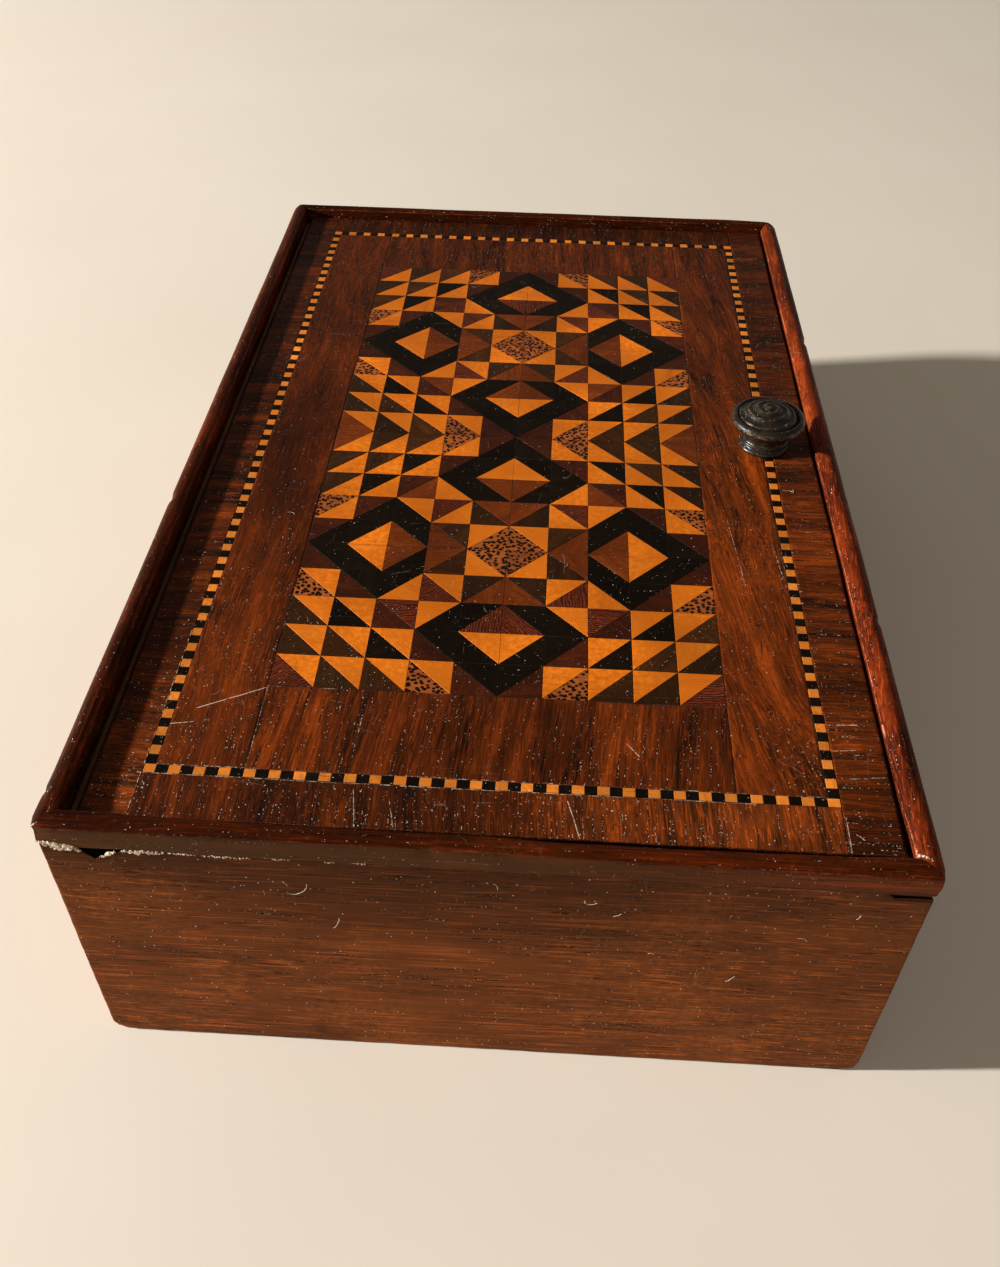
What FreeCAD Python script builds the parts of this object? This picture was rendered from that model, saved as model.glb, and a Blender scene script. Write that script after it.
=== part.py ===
import FreeCAD, Part
import math
import os
import re

import Sketcher

# Antique glove box with an inset, pin-hinged lid.
# The origin is the middle of the base: width along X, length along Y, height along Z.
# The hinge is along the left side, at low X, and the knob is on the right.

# Driving sizes in millimetres
sizes = {
    # Whole box, over the faces of the walls
    "box_width": 146.4,
    "box_length": 239.4,
    "lid_top_height": 63.7,
    # Walls, each a plain core with a rosewood face
    "wall_core": 3.3,
    "face_veneer": 0.8,
    "veneer_lift": 0.3,
    # Chip in the near face, in front of the hinge pin
    "chip_left": 3.1,
    "chip_right": 4.9,
    "chip_tip": 0.5,
    "chip_depth": 2.9,
    # Floor, the strips that line the walls, and the pad on the floor
    "floor_thickness": 4.0,
    "liner_thickness": 3.0,
    "pad_thickness": 1.2,
    "pad_margin": 0.2,
    # Moulding that frames the lid
    "moulding_overhang": 0.5,
    "moulding_drop": 2.6,
    "moulding_lip": 3.7,
    "moulding_shoulder": 4.5,
    "moulding_crown": 1.17,
    # Lid
    "lid_gap": 0.75,
    "lid_thickness": 7.0,
    "lid_seat_gap": 0.2,
    "top_veneer": 0.8,
    "under_veneer": 0.6,
    "under_margin": 1.5,
    # Hinge pins
    "pin_inset": 4.8,
    "pin_depth": 3.5,
    "pin_radius": 0.75,
    "pin_point": 1.6,
    "pin_point_radius": 0.2,
    "pin_recess": 0.5,
    "pin_reach": 10.0,
    "pin_wall_fit": 0.02,
    "pin_running_fit": 0.05,
    "bore_end_gap": 0.5,
    "hinge_clearance": 0.4,
    "relief_clearance": 0.3,
    # Inlay of the lid
    "glue_line": 0.06,
    "field_side_width": 15.4,
    "field_end_width": 19.9,
    "crossband_width": 9.05,
    "stringing_width": 1.9,
    "stringing_pitch": 2.15,
    # Turned knob
    "knob_inset": 10.7,
    "knob_offset": 1.0,
    "knob_head_radius": 8.4,
    "knob_height": 10.6,
    "knob_edge_low": 6.0,
    "knob_edge_high": 8.7,
    "knob_edge_bulge": 1.15,
    "knob_collar_radius": 5.9,
    "knob_collar_height": 1.5,
    "knob_collar_bulge": 0.7,
    "knob_waist_step": 0.3,
    "knob_waist_hollow": 0.7,
    "knob_groove_width": 0.4,
    "knob_groove_depth": 0.15,
    "knob_tenon_radius": 2.5,
    "knob_tenon_length": 5.0,
    "knob_socket_fit": 0.02,
    # How far every cutting tool runs past what it cuts
    "overrun": 1.0,
}

# Mosaic, from the near left corner to the middle of the panel: each row from the left,
# and each square as its diagonal, the wood above it and the wood below it
mosaic_columns = 10
mosaic_rows = 20
mosaic_quarter = [
    r"\BP \BD \BO \BS \ER",
    r"\BD \BO \BE \ER \BE",
    r"\BO \BE \PR /BE /EP",
    r"\BS \ER /EB \BP /DM",
    r"\ER \BE /ME /MO \SB",
    r"/RE /EB \EM \OM /BS",
    r"/SB /RE \BE /PB \MD",
    r"/DB /EB /RM \EB \ME",
    r"/DB /OB /EB /RE /EB",
    r"/MB /DB /OB /SB /RE",
]
woods = {
    "B": "boxwood",
    "E": "ebony",
    "S": "palm_wood",
    "P": "kingwood",
    "R": "rosewood",
    "D": "walnut",
    "O": "olive_wood",
    "M": "mahogany",
}

# Edge of the knob's dome and the grooves round it, as shares of its head radius
knob_dome_share = 0.88
knob_groove_shares = (0.74, 0.55, 0.35, 0.15)

# Lengths that follow from the driving sizes, as expressions of their names
inner_half_width = "(box_width / 2 - face_veneer - wall_core)"
inner_half_length = "(box_length / 2 - face_veneer - wall_core)"
wall_top = "(lid_top_height - moulding_drop)"
lid_half_width = f"({inner_half_width} - lid_gap)"
lid_half_length = f"({inner_half_length} - lid_gap)"
lid_underside = "(lid_top_height - lid_thickness)"
pin_x = f"(pin_inset - {lid_half_width})"
pin_z = "(lid_top_height - pin_depth)"
hinge_radius = "(pin_inset + lid_gap - hinge_clearance)"
liner_top = f"({lid_underside} - lid_seat_gap)"
relief_top = f"({pin_z} - {hinge_radius} - relief_clearance)"
veneer_bed = "(lid_top_height - top_veneer)"
band_half_width = f"({lid_half_width} - crossband_width)"
band_half_length = f"({lid_half_length} - crossband_width)"
field_half_width = f"({band_half_width} - stringing_width)"
field_half_length = f"({band_half_length} - stringing_width)"
mosaic_half_width = f"({field_half_width} - field_side_width)"
mosaic_half_length = f"({field_half_length} - field_end_width)"
knob_x = f"({lid_half_width} - knob_inset)"

doc = FreeCAD.newDocument("GloveBox")
sheet = doc.addObject("Spreadsheet::Sheet", "Sizes")
for line, (name, size) in enumerate(sizes.items(), start=1):
    sheet.set(f"A{line}", name)
    sheet.set(f"B{line}", str(size))
    sheet.setAlias(f"B{line}", name)
doc.recompute()


def bound(text):
    """The expression with each size's name pointed at its cell."""
    return re.sub(r"[a-z_]+", lambda word: f"Sizes.{word[0]}" if word[0] in sizes else word[0], text)


def value(text):
    """What the expression comes to now."""
    return float(sheet.evalExpression(bound(text)))


def hypotenuse_leg(radius, leg):
    """Half chord of a circle at a distance from its centre."""
    return f"sqrt(pow({radius}; 2) - pow({leg}; 2))"


def arc_radius(chord, sagitta):
    """Radius of the arc that rises by the sagitta over the chord."""
    return f"((pow({chord}; 2) / 4 + pow({sagitta}; 2)) / (2 * {sagitta}))"


def span(start, end):
    """Distance between two points given as expressions."""
    return f"sqrt(pow({end[0]} - ({start[0]}); 2) + pow({end[1]} - ({start[1]}); 2))"


def place(item, place_x, place_y, place_z, turn=0, about=(0, 0, 1)):
    """Turn the item and bind its place to the sizes."""
    item.Placement = FreeCAD.Placement(FreeCAD.Vector(), FreeCAD.Rotation(FreeCAD.Vector(*about), turn))
    for axis, text in zip("xyz", (place_x, place_y, place_z)):
        item.setExpression(f"Placement.Base.{axis}", bound(str(text)))
    return item


def block(label, low, high):
    """A box between two corners."""
    box = doc.addObject("Part::Box", label)
    for side, start, end in zip(("Length", "Width", "Height"), low, high):
        box.setExpression(side, bound(f"{end} - ({start})"))
    return place(box, *low)


def rod(label, start, radius, length, along_y=False):
    """A cylinder that stands up from its start, or runs along Y from it."""
    cylinder = doc.addObject("Part::Cylinder", label)
    cylinder.setExpression("Radius", bound(radius))
    cylinder.setExpression("Height", bound(length))
    return place(cylinder, *start, turn=-90 if along_y else 0, about=(1, 0, 0))


def carved(label, base, tools):
    """The base less each tool in turn."""
    for count, tool in enumerate(tools, start=1):
        cut = doc.addObject("Part::Cut", label if count == len(tools) else f"{label}_cut_{count}")
        cut.Base = base
        cut.Tool = tool
        base = cut
    return base


def group(label, solids):
    """Separate solids that share one node."""
    feature = doc.addObject("Part::Feature", label)
    feature.Shape = Part.makeCompound(solids)
    return feature


def new_body(label):
    """A body, built from its own origin planes."""
    return doc.addObject("PartDesign::Body", label)


def hold(sketch, kind, datum, *ends):
    """Add a measured constraint and bind it to an expression."""
    index = sketch.addConstraint(Sketcher.Constraint(kind, *ends, value(datum)))
    sketch.setExpression(f"Constraints[{index}]", bound(datum))


def pin_corner(sketch, edge, end, corner):
    """Hold one end of an edge at a corner that is given as two expressions."""
    for kind, axis, datum in (("DistanceX", -2, corner[0]), ("DistanceY", -1, corner[1])):
        if datum == "0":
            sketch.addConstraint(Sketcher.Constraint("PointOnObject", edge, end, axis))
        else:
            hold(sketch, kind, datum, -1, 1, edge, end)


def draw_loop(sketch, corners, arcs):
    """Draw a closed outline. An arc replaces the edge that starts at the corner it is
    listed under, with its centre to the left of the way along it, or to the right."""
    points = [FreeCAD.Vector(value(x), value(y), 0) for x, y in corners]
    edges = []
    for number, start in enumerate(points):
        end = points[(number + 1) % len(points)]
        if number in arcs:
            radius, side = arcs[number]
            middle = (start + end) / 2
            chord = end - start
            across = FreeCAD.Vector(-chord.y, chord.x, 0).normalize() * (1 if side == "left" else -1)
            depth = math.sqrt(max(value(radius) ** 2 - (chord.Length / 2) ** 2, 0))
            crown = middle + across * (depth - value(radius))
            edge = sketch.addGeometry(Part.Arc(start, crown, end))
            hold(sketch, "Radius", radius, edge)
            edges.append((edge, 1, 2) if side == "left" else (edge, 2, 1))
        else:
            edges.append((sketch.addGeometry(Part.LineSegment(start, end)), 1, 2))
    for number, (edge, first, last) in enumerate(edges):
        after = edges[(number + 1) % len(edges)]
        sketch.addConstraint(Sketcher.Constraint("Coincident", edge, last, after[0], after[1]))
        pin_corner(sketch, edge, first, corners[number])


def outline(body, name, plane, loops):
    """A sketch on one of the body's own planes: a list of corners, with arcs, per loop."""
    sketch = body.newObject("Sketcher::SketchObject", name)
    roles = {feature.Role: feature for feature in body.Origin.OriginFeatures}
    sketch.AttachmentSupport = [(roles[plane], "")]
    sketch.MapMode = "FlatFace"
    for corners, arcs in loops:
        draw_loop(sketch, corners, arcs)
    return sketch


def pad(body, sketch, length):
    """Pad the sketch by half the length to each side."""
    feature = body.newObject("PartDesign::Pad", "pad")
    feature.Profile = sketch
    feature.Midplane = True
    feature.setExpression("Length", bound(length))
    return feature


def cut_through(body, sketch):
    """Cut the sketch through the body to both sides, and make sure that it cuts."""
    doc.recompute()
    before = body.Shape.Volume
    feature = body.newObject("PartDesign::Pocket", "pocket")
    feature.Profile = sketch
    feature.Type = "ThroughAll"
    feature.Midplane = True
    doc.recompute()
    if not body.Shape.Volume < before:
        raise RuntimeError(f"{body.Label}: the pocket cuts nothing")


def walls():
    """Four butted wall cores, with the holes that hold the hinge pins."""
    core_x = "(box_width / 2 - face_veneer)"
    core_y = "(box_length / 2 - face_veneer)"
    near = block(
        "near_wall_blank",
        (f"-{core_x}", f"-{core_y}", "0"),
        (core_x, f"-{inner_half_length}", wall_top),
    )
    far = block(
        "far_wall_blank",
        (f"-{core_x}", inner_half_length, "0"),
        (core_x, core_y, wall_top),
    )
    left = block(
        "left_wall",
        (f"-{core_x}", f"-{inner_half_length}", "0"),
        (f"-{inner_half_width}", inner_half_length, wall_top),
    )
    right = block(
        "right_wall",
        (inner_half_width, f"-{inner_half_length}", "0"),
        (core_x, inner_half_length, wall_top),
    )
    hole = rod(
        "pin_holes",
        (pin_x, "-box_length / 2 - overrun", pin_z),
        "pin_radius + pin_wall_fit",
        "box_length + 2 * overrun",
        along_y=True,
    )
    return [
        carved("near_wall", near, [hole]),
        carved("far_wall", far, [hole]),
        left,
        right,
    ], hole


def near_face():
    """Rosewood face of the near wall, chipped away in front of the hinge pin."""
    body = new_body("near_face_veneer")
    side = "(box_width / 2)"
    corners = [
        (f"-{side}", "veneer_lift"),
        (side, "veneer_lift"),
        (side, wall_top),
        (f"{pin_x} + chip_right", wall_top),
        (f"{pin_x} - chip_tip", f"{wall_top} - chip_depth"),
        (f"{pin_x} - chip_left", wall_top),
        (f"-{side}", wall_top),
    ]
    pad(body, outline(body, "outline", "XZ_Plane", [(corners, {})]), "face_veneer")
    return place(body, "0", "face_veneer / 2 - box_length / 2", "0")


def faces(pin_hole):
    """Rosewood faces of the four walls: the ends run over the sides."""
    core_y = "(box_length / 2 - face_veneer)"
    far = block(
        "far_face_blank",
        ("-box_width / 2", core_y, "veneer_lift"),
        ("box_width / 2", "box_length / 2", wall_top),
    )
    left = block(
        "left_face_veneer",
        ("-box_width / 2", f"-{core_y}", "veneer_lift"),
        ("face_veneer - box_width / 2", core_y, wall_top),
    )
    right = block(
        "right_face_veneer",
        ("box_width / 2 - face_veneer", f"-{core_y}", "veneer_lift"),
        ("box_width / 2", core_y, wall_top),
    )
    return [near_face(), carved("far_face_veneer", far, [pin_hole]), left, right]


def end_liner(label, low_y):
    """Strip inside an end wall, lowered at the hinge to clear the lid's edge."""
    body = new_body(label)
    end_x = f"({inner_half_width} - liner_thickness)"
    relief_x = f"({pin_x} + {hinge_radius} + relief_clearance)"
    corners = [
        (f"-{end_x}", "floor_thickness"),
        (end_x, "floor_thickness"),
        (end_x, liner_top),
        (relief_x, liner_top),
        (relief_x, relief_top),
        (f"-{end_x}", relief_top),
    ]
    pad(body, outline(body, "outline", "XZ_Plane", [(corners, {})]), "liner_thickness")
    return place(body, "0", f"{low_y} + liner_thickness / 2", "0")


def inside():
    """Floor, lining strips that carry the lid, and the pad on the floor."""
    floor = block(
        "floor_board",
        (f"-{inner_half_width}", f"-{inner_half_length}", "0"),
        (inner_half_width, inner_half_length, "floor_thickness"),
    )
    left = block(
        "left_liner",
        (f"-{inner_half_width}", f"-{inner_half_length}", "floor_thickness"),
        (f"liner_thickness - {inner_half_width}", inner_half_length, relief_top),
    )
    right = block(
        "right_liner",
        (f"{inner_half_width} - liner_thickness", f"-{inner_half_length}", "floor_thickness"),
        (inner_half_width, inner_half_length, liner_top),
    )
    pad_x = f"({inner_half_width} - liner_thickness - pad_margin)"
    pad_y = f"({inner_half_length} - liner_thickness - pad_margin)"
    floor_pad = block(
        "floor_pad",
        (f"-{pad_x}", f"-{pad_y}", "floor_thickness"),
        (pad_x, pad_y, "floor_thickness + pad_thickness"),
    )
    near = end_liner("near_liner", f"-{inner_half_length}")
    far = end_liner("far_liner", f"{inner_half_length} - liner_thickness")
    return [floor, left, right, near, far, floor_pad]


def moulding(label, run, turn, place_x, place_y):
    """One mitred length: a domed top that ends in a lip, and a front that slopes back below it."""
    width = "(wall_core + face_veneer + moulding_overhang)"
    foot = "(wall_core + face_veneer)"
    corners = [("0", "0"), (foot, "0"), (width, "moulding_lip"), ("0", "moulding_shoulder")]
    arcs = {2: (arc_radius(span(corners[2], corners[3]), "moulding_crown"), "left")}
    body = new_body(label)
    pad(body, outline(body, "section", "YZ_Plane", [(corners, arcs)]), f"2 * ({run} + {width})")
    mitres = []
    for side in ("", "-"):
        mitres.append(([
            (f"{side}({run} - overrun)", "-overrun"),
            (f"{side}({run} + {width} + overrun)", "-overrun"),
            (f"{side}({run} + {width} + overrun)", f"{width} + overrun"),
        ], {}))
    cut_through(body, outline(body, "mitres", "XY_Plane", mitres))
    return place(body, place_x, place_y, wall_top, turn=turn)


def mouldings():
    """The moulding round the top, one length to each wall."""
    return [
        moulding("near_moulding", inner_half_width, 180, "0", f"-{inner_half_length}"),
        moulding("far_moulding", inner_half_width, 0, "0", inner_half_length),
        moulding("left_moulding", inner_half_length, 90, f"-{inner_half_width}", "0"),
        moulding("right_moulding", inner_half_length, -90, inner_half_width, "0"),
    ]


def hinge_pins():
    """Headless pins, driven through the end walls into the lid."""
    length = "(wall_core + lid_gap + pin_reach - pin_recess - pin_point)"
    head_y = "(box_length / 2 - face_veneer - pin_recess)"
    pins = []
    for label, way in (("near_hinge_pin", 1), ("far_hinge_pin", -1)):
        head = (pin_x, f"{-way} * {head_y}", pin_z)
        shank = rod(f"{label}_shank", head, "pin_radius", length, along_y=True)
        point = doc.addObject("Part::Cone", f"{label}_point")
        point.setExpression("Radius1", bound("pin_radius"))
        point.setExpression("Radius2", bound("pin_point_radius"))
        point.setExpression("Height", bound("pin_point"))
        place(point, pin_x, f"{way} * ({length} - {head_y})", pin_z, turn=-90 * way, about=(1, 0, 0))
        if way < 0:
            place(shank, pin_x, head_y, pin_z, turn=90, about=(1, 0, 0))
        pin = doc.addObject("Part::Fuse", label)
        pin.Base = shank
        pin.Tool = point
        pins.append(pin)
    return pins


def rounded_edge(level):
    """Corner of the lid's rounded hinge edge at a level above or below the pin."""
    return (f"-{hypotenuse_leg(hinge_radius, level)}", level)


def lid_board(socket):
    """Board of the lid, rounded about the pins on its hinge edge and bored for them."""
    top = "(pin_depth - top_veneer)"
    bottom = "(lid_thickness - pin_depth - under_veneer)"
    flat = hypotenuse_leg(hinge_radius, "pin_inset")
    right = f"(2 * {lid_half_width} - pin_inset)"
    corners = [
        (f"-{hypotenuse_leg(hinge_radius, bottom)}", f"-{bottom}"),
        (right, f"-{bottom}"),
        (right, top),
        rounded_edge(top),
        ("-pin_inset", flat),
        ("-pin_inset", f"-{flat}"),
    ]
    arcs = {3: (hinge_radius, "left"), 5: (hinge_radius, "left")}
    blank = new_body("lid_board_blank")
    pad(blank, outline(blank, "section", "XZ_Plane", [(corners, arcs)]), f"2 * {lid_half_length}")
    place(blank, pin_x, "0", pin_z)
    depth = "(pin_reach + bore_end_gap)"
    bores = [
        rod(
            f"{end}_bore",
            (pin_x, start, pin_z),
            "pin_radius + pin_running_fit",
            f"{depth} + overrun",
            along_y=True,
        )
        for end, start in (
            ("near", f"-{lid_half_length} - overrun"),
            ("far", f"{lid_half_length} - {depth}"),
        )
    ]
    return carved("lid_board", blank, bores + [socket])


def left_crossband():
    """Left cross-banding, rounded with the board's hinge edge."""
    bed = "(pin_depth - top_veneer)"
    inner = "(crossband_width - pin_inset)"
    corners = [rounded_edge(bed), (inner, bed), (inner, "pin_depth"), rounded_edge("pin_depth")]
    body = new_body("left_crossband")
    section = outline(body, "section", "XZ_Plane", [(corners, {3: (hinge_radius, "left")})])
    pad(body, section, f"2 * {lid_half_length}")
    return place(body, pin_x, "0", pin_z)


def veneer(label, low, high, socket=None):
    """A flat piece of the lid's top layer, between two corners in plan."""
    name = label if socket is None else f"{label}_blank"
    piece = block(name, (*low, veneer_bed), (*high, "lid_top_height"))
    return piece if socket is None else carved(label, piece, [socket])


def top_veneers(socket):
    """Cross-banding round the edge of the lid, and the plain field inside the stringing."""
    pieces = [
        left_crossband(),
        veneer(
            "right_crossband",
            (band_half_width, f"-{lid_half_length}"),
            (lid_half_width, lid_half_length),
            socket,
        ),
        veneer(
            "left_field_veneer",
            (f"-{field_half_width}", f"-{field_half_length}"),
            (f"-{mosaic_half_width}", field_half_length),
        ),
        veneer(
            "right_field_veneer",
            (mosaic_half_width, f"-{field_half_length}"),
            (field_half_width, field_half_length),
            socket,
        ),
    ]
    for end, way in (("near", "-"), ("far", "")):
        band = sorted((f"{way}{band_half_length}", f"{way}{lid_half_length}"), key=value)
        field = sorted((f"{way}{mosaic_half_length}", f"{way}{field_half_length}"), key=value)
        pieces.append(
            veneer(f"{end}_crossband", (f"-{band_half_width}", band[0]), (band_half_width, band[1]))
        )
        pieces.append(
            veneer(f"{end}_field_veneer", (f"-{mosaic_half_width}", field[0]), (mosaic_half_width, field[1]))
        )
    return pieces


def inlay_block(low_x, low_y, high_x, high_y):
    """A small block of the top layer, half a glue line short on each side."""
    slack = value("glue_line") / 2
    base = FreeCAD.Vector(low_x + slack, low_y + slack, value(veneer_bed))
    width = high_x - low_x - 2 * slack
    length = high_y - low_y - 2 * slack
    return Part.makeBox(width, length, value("top_veneer"), base)


def odd_count(length):
    """Odd number of stringing blocks that fills a length best."""
    return 2 * round((length / value("stringing_pitch") - 1) / 2) + 1


def stringing(socket):
    """Chequered line of boxwood and ebony blocks, boxwood at its four corners."""
    half_x = value(band_half_width)
    half_y = value(band_half_length)
    width = value("stringing_width")
    blocks = {"boxwood": [], "ebony": []}
    count = odd_count(2 * half_x)
    step = 2 * half_x / count
    for number in range(count):
        wood = "boxwood" if number % 2 == 0 else "ebony"
        start = -half_x + number * step
        for low_y in (-half_y, half_y - width):
            blocks[wood].append(inlay_block(start, low_y, start + step, low_y + width))
    count = odd_count(2 * (half_y - width))
    step = 2 * (half_y - width) / count
    for number in range(count):
        wood = "ebony" if number % 2 == 0 else "boxwood"
        start = width - half_y + number * step
        for low_x in (-half_x, half_x - width):
            blocks[wood].append(inlay_block(low_x, start, low_x + width, start + step))
    hole = socket.Shape
    pieces = []
    for wood, solids in blocks.items():
        kept = [solid.cut(hole) if solid.distToShape(hole)[0] == 0 else solid for solid in solids]
        kept = [part for solid in kept for part in solid.Solids]
        pieces.append(group(f"stringing_{wood}", kept))
    return pieces


def mosaic_square(column, row):
    """Diagonal and two woods of a square: the panel mirrors its near left quarter."""
    from_left = min(column, mosaic_columns - 1 - column)
    from_near = min(row, mosaic_rows - 1 - row)
    diagonal, above, below = mosaic_quarter[from_near].split()[from_left]
    if (from_left != column) != (from_near != row):
        diagonal = "/" if diagonal == "\\" else "\\"
    if from_near != row:
        above, below = below, above
    return diagonal, above, below


def drawn_in(corners, distance):
    """A triangle with each side moved in by a distance."""
    sides = [(corners[(n + 1) % 3] - corners[(n + 2) % 3]).Length for n in range(3)]
    around = sum(sides)
    middle = FreeCAD.Vector()
    for corner, side in zip(corners, sides):
        middle += corner * (side / around)
    area = (corners[1] - corners[0]).cross(corners[2] - corners[0]).Length / 2
    kept_share = 1 - distance * around / (2 * area)
    return [middle + (corner - middle) * kept_share for corner in corners]


def mosaic():
    """Panel of half-square tiles, one node to each wood."""
    half_width = value(mosaic_half_width)
    half_length = value(mosaic_half_length)
    width = 2 * half_width / mosaic_columns
    length = 2 * half_length / mosaic_rows
    bed = value(veneer_bed)
    rise = FreeCAD.Vector(0, 0, value("top_veneer"))
    tiles = {wood: [] for wood in woods.values()}
    for row in range(mosaic_rows):
        for column in range(mosaic_columns):
            low_x = width * column - half_width
            low_y = length * row - half_length
            near_left = FreeCAD.Vector(low_x, low_y, bed)
            near_right = FreeCAD.Vector(low_x + width, low_y, bed)
            far_right = FreeCAD.Vector(low_x + width, low_y + length, bed)
            far_left = FreeCAD.Vector(low_x, low_y + length, bed)
            diagonal, above, below = mosaic_square(column, row)
            if diagonal == "\\":
                upper = (far_left, near_right, far_right)
                lower = (near_left, near_right, far_left)
            else:
                upper = (near_left, far_right, far_left)
                lower = (near_left, near_right, far_right)
            for wood, corners in ((above, upper), (below, lower)):
                tile = drawn_in(corners, value("glue_line") / 2)
                face = Part.Face(Part.makePolygon(tile + tile[:1]))
                tiles[woods[wood]].append(face.extrude(rise))
    return [group(f"mosaic_{wood}", solids) for wood, solids in tiles.items()]


def knob():
    """Ebony knob: beaded collar, hollow waist and a domed head turned with rings."""
    neck = "(knob_collar_radius - knob_collar_bulge)"
    waist = f"({neck} - knob_waist_step)"
    lower_edge = "(knob_head_radius - knob_edge_bulge)"
    corners = [
        ("0", "-knob_tenon_length"),
        ("knob_tenon_radius", "-knob_tenon_length"),
        ("knob_tenon_radius", "0"),
        (neck, "0"),
        (neck, "knob_collar_height"),
        (waist, "knob_collar_height"),
        (lower_edge, "knob_edge_low"),
    ]
    dome_edge = f"({knob_dome_share} * knob_head_radius)"
    dome = arc_radius(f"(2 * {dome_edge})", "(knob_height - knob_edge_high)")

    def on_dome(reach, sunk="0"):
        return (reach, f"knob_height - {dome} + {hypotenuse_leg(dome, reach)} - {sunk}")

    arcs = {len(corners): (dome, "left")}
    corners.append(on_dome(dome_edge))
    for share in knob_groove_shares:
        groove = f"({share} * knob_head_radius)"
        corners.append(on_dome(f"({groove} + knob_groove_width / 2)"))
        corners.append(on_dome(groove, "knob_groove_depth"))
        arcs[len(corners)] = (dome, "left")
        corners.append(on_dome(f"({groove} - knob_groove_width / 2)"))
    corners.append(("0", "knob_height"))
    arcs[3] = (arc_radius("knob_collar_height", "knob_collar_bulge"), "left")
    arcs[5] = (arc_radius(span(corners[5], corners[6]), "knob_waist_hollow"), "right")
    arcs[6] = (arc_radius(span(corners[6], corners[7]), "knob_edge_bulge"), "left")
    body = new_body("knob")
    profile = outline(body, "profile", "XZ_Plane", [(corners, arcs)])
    turning = body.newObject("PartDesign::Revolution", "turning")
    turning.Profile = profile
    turning.ReferenceAxis = (profile, ["V_Axis"])
    turning.Angle = 360
    return place(body, knob_x, "knob_offset", "lid_top_height")


def lid():
    """Lid: board, inlaid top, plain veneer below, and the knob."""
    socket = rod(
        "knob_socket",
        (knob_x, "knob_offset", "lid_top_height - knob_tenon_length"),
        "knob_tenon_radius + knob_socket_fit",
        "knob_tenon_length + overrun",
    )
    doc.recompute()
    under_x = f"({lid_half_width} - under_margin)"
    under_y = f"({lid_half_length} - under_margin)"
    under = block(
        "lid_under_veneer",
        (f"-{under_x}", f"-{under_y}", lid_underside),
        (under_x, under_y, f"{lid_underside} + under_veneer"),
    )
    return [lid_board(socket), under, *top_veneers(socket), *stringing(socket), *mosaic(), knob()]


def check(pieces):
    """Stop if any object failed or any piece has no sound shape."""
    for item in doc.Objects:
        if {"Invalid", "Error"} & set(item.State):
            raise RuntimeError(f"{item.Label}: {item.State}")
    for piece in pieces:
        if piece.Shape.isNull() or not piece.Shape.isValid() or not piece.Shape.Solids:
            raise RuntimeError(f"{piece.Label}: no sound solid")


wall_pieces, pin_hole = walls()
pieces = [*wall_pieces, *faces(pin_hole), *inside(), *mouldings(), *hinge_pins(), *lid()]
doc.recompute()
check(pieces)

os.makedirs("parts", exist_ok=True)
for piece in pieces:
    piece.Shape.exportStep(f"parts/{piece.Label}.step")
    print(f"{piece.Label}: {len(piece.Shape.Solids)} solids, {piece.Shape.Volume:.1f} mm3")
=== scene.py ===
from math import asin, atan2, copysign, cos, exp, hypot, pi, radians, sin, sqrt, tau

import bmesh
import bpy
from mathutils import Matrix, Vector, noise


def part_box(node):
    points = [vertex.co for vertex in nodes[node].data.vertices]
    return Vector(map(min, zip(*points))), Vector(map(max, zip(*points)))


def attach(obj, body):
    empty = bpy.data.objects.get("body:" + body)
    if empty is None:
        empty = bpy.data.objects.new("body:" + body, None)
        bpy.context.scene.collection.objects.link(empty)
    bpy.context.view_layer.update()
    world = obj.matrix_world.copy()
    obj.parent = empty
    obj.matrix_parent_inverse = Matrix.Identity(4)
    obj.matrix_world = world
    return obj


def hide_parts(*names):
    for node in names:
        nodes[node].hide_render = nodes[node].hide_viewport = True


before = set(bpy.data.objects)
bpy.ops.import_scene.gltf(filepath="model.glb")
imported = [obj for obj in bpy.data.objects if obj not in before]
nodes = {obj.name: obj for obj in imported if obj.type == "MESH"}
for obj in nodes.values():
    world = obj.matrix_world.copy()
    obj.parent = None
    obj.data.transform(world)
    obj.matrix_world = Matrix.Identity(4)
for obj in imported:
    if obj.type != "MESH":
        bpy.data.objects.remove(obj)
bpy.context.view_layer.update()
mm = 0.001


# Colours are written as they look on a screen, from 0 to 255
def paint(*parts):
    linear = [part / 255 / 12.92 if part <= 10 else ((part / 255 + 0.055) / 1.055) ** 2.4 for part in parts]
    return (*linear, 1.0)


# An output of the tree being drawn, which takes part in a formula like a number.
# The other outputs of its node go by their names.
class Wire:
    def __init__(self, socket):
        self.socket = socket

    def __getitem__(self, name):
        return Wire(self.socket.node.outputs[name])

    def __getattr__(self, name):
        return self[name]

    def __rtruediv__(self, other):
        return calc("DIVIDE", other, self)

    def __abs__(self):
        return calc("ABSOLUTE", self)


for sign, operation in dict(add="ADD", sub="SUBTRACT", mul="MULTIPLY", truediv="DIVIDE").items():
    setattr(Wire, f"__{sign}__", lambda self, other, operation=operation: calc(operation, self, other))

# The tree being drawn
page = {}


# Adds a node to the tree, a shader node by its short name
def draw(kind, feeds=None, **settings):
    made = page["tree"].nodes.new(kind if "Node" in kind else "ShaderNode" + kind)
    for name, setting in settings.items():
        setattr(made, name, setting)
    for name, source in (feeds or {}).items():
        if isinstance(source, Wire):
            page["tree"].links.new(source.socket, made.inputs[name])
        else:
            made.inputs[name].default_value = source
    return Wire(made.outputs[0]) if made.outputs else None


def hasParts(value):
    return isinstance(value, tuple) or isinstance(value, Wire) and value.socket.type in ("VECTOR", "RGBA")


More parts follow.
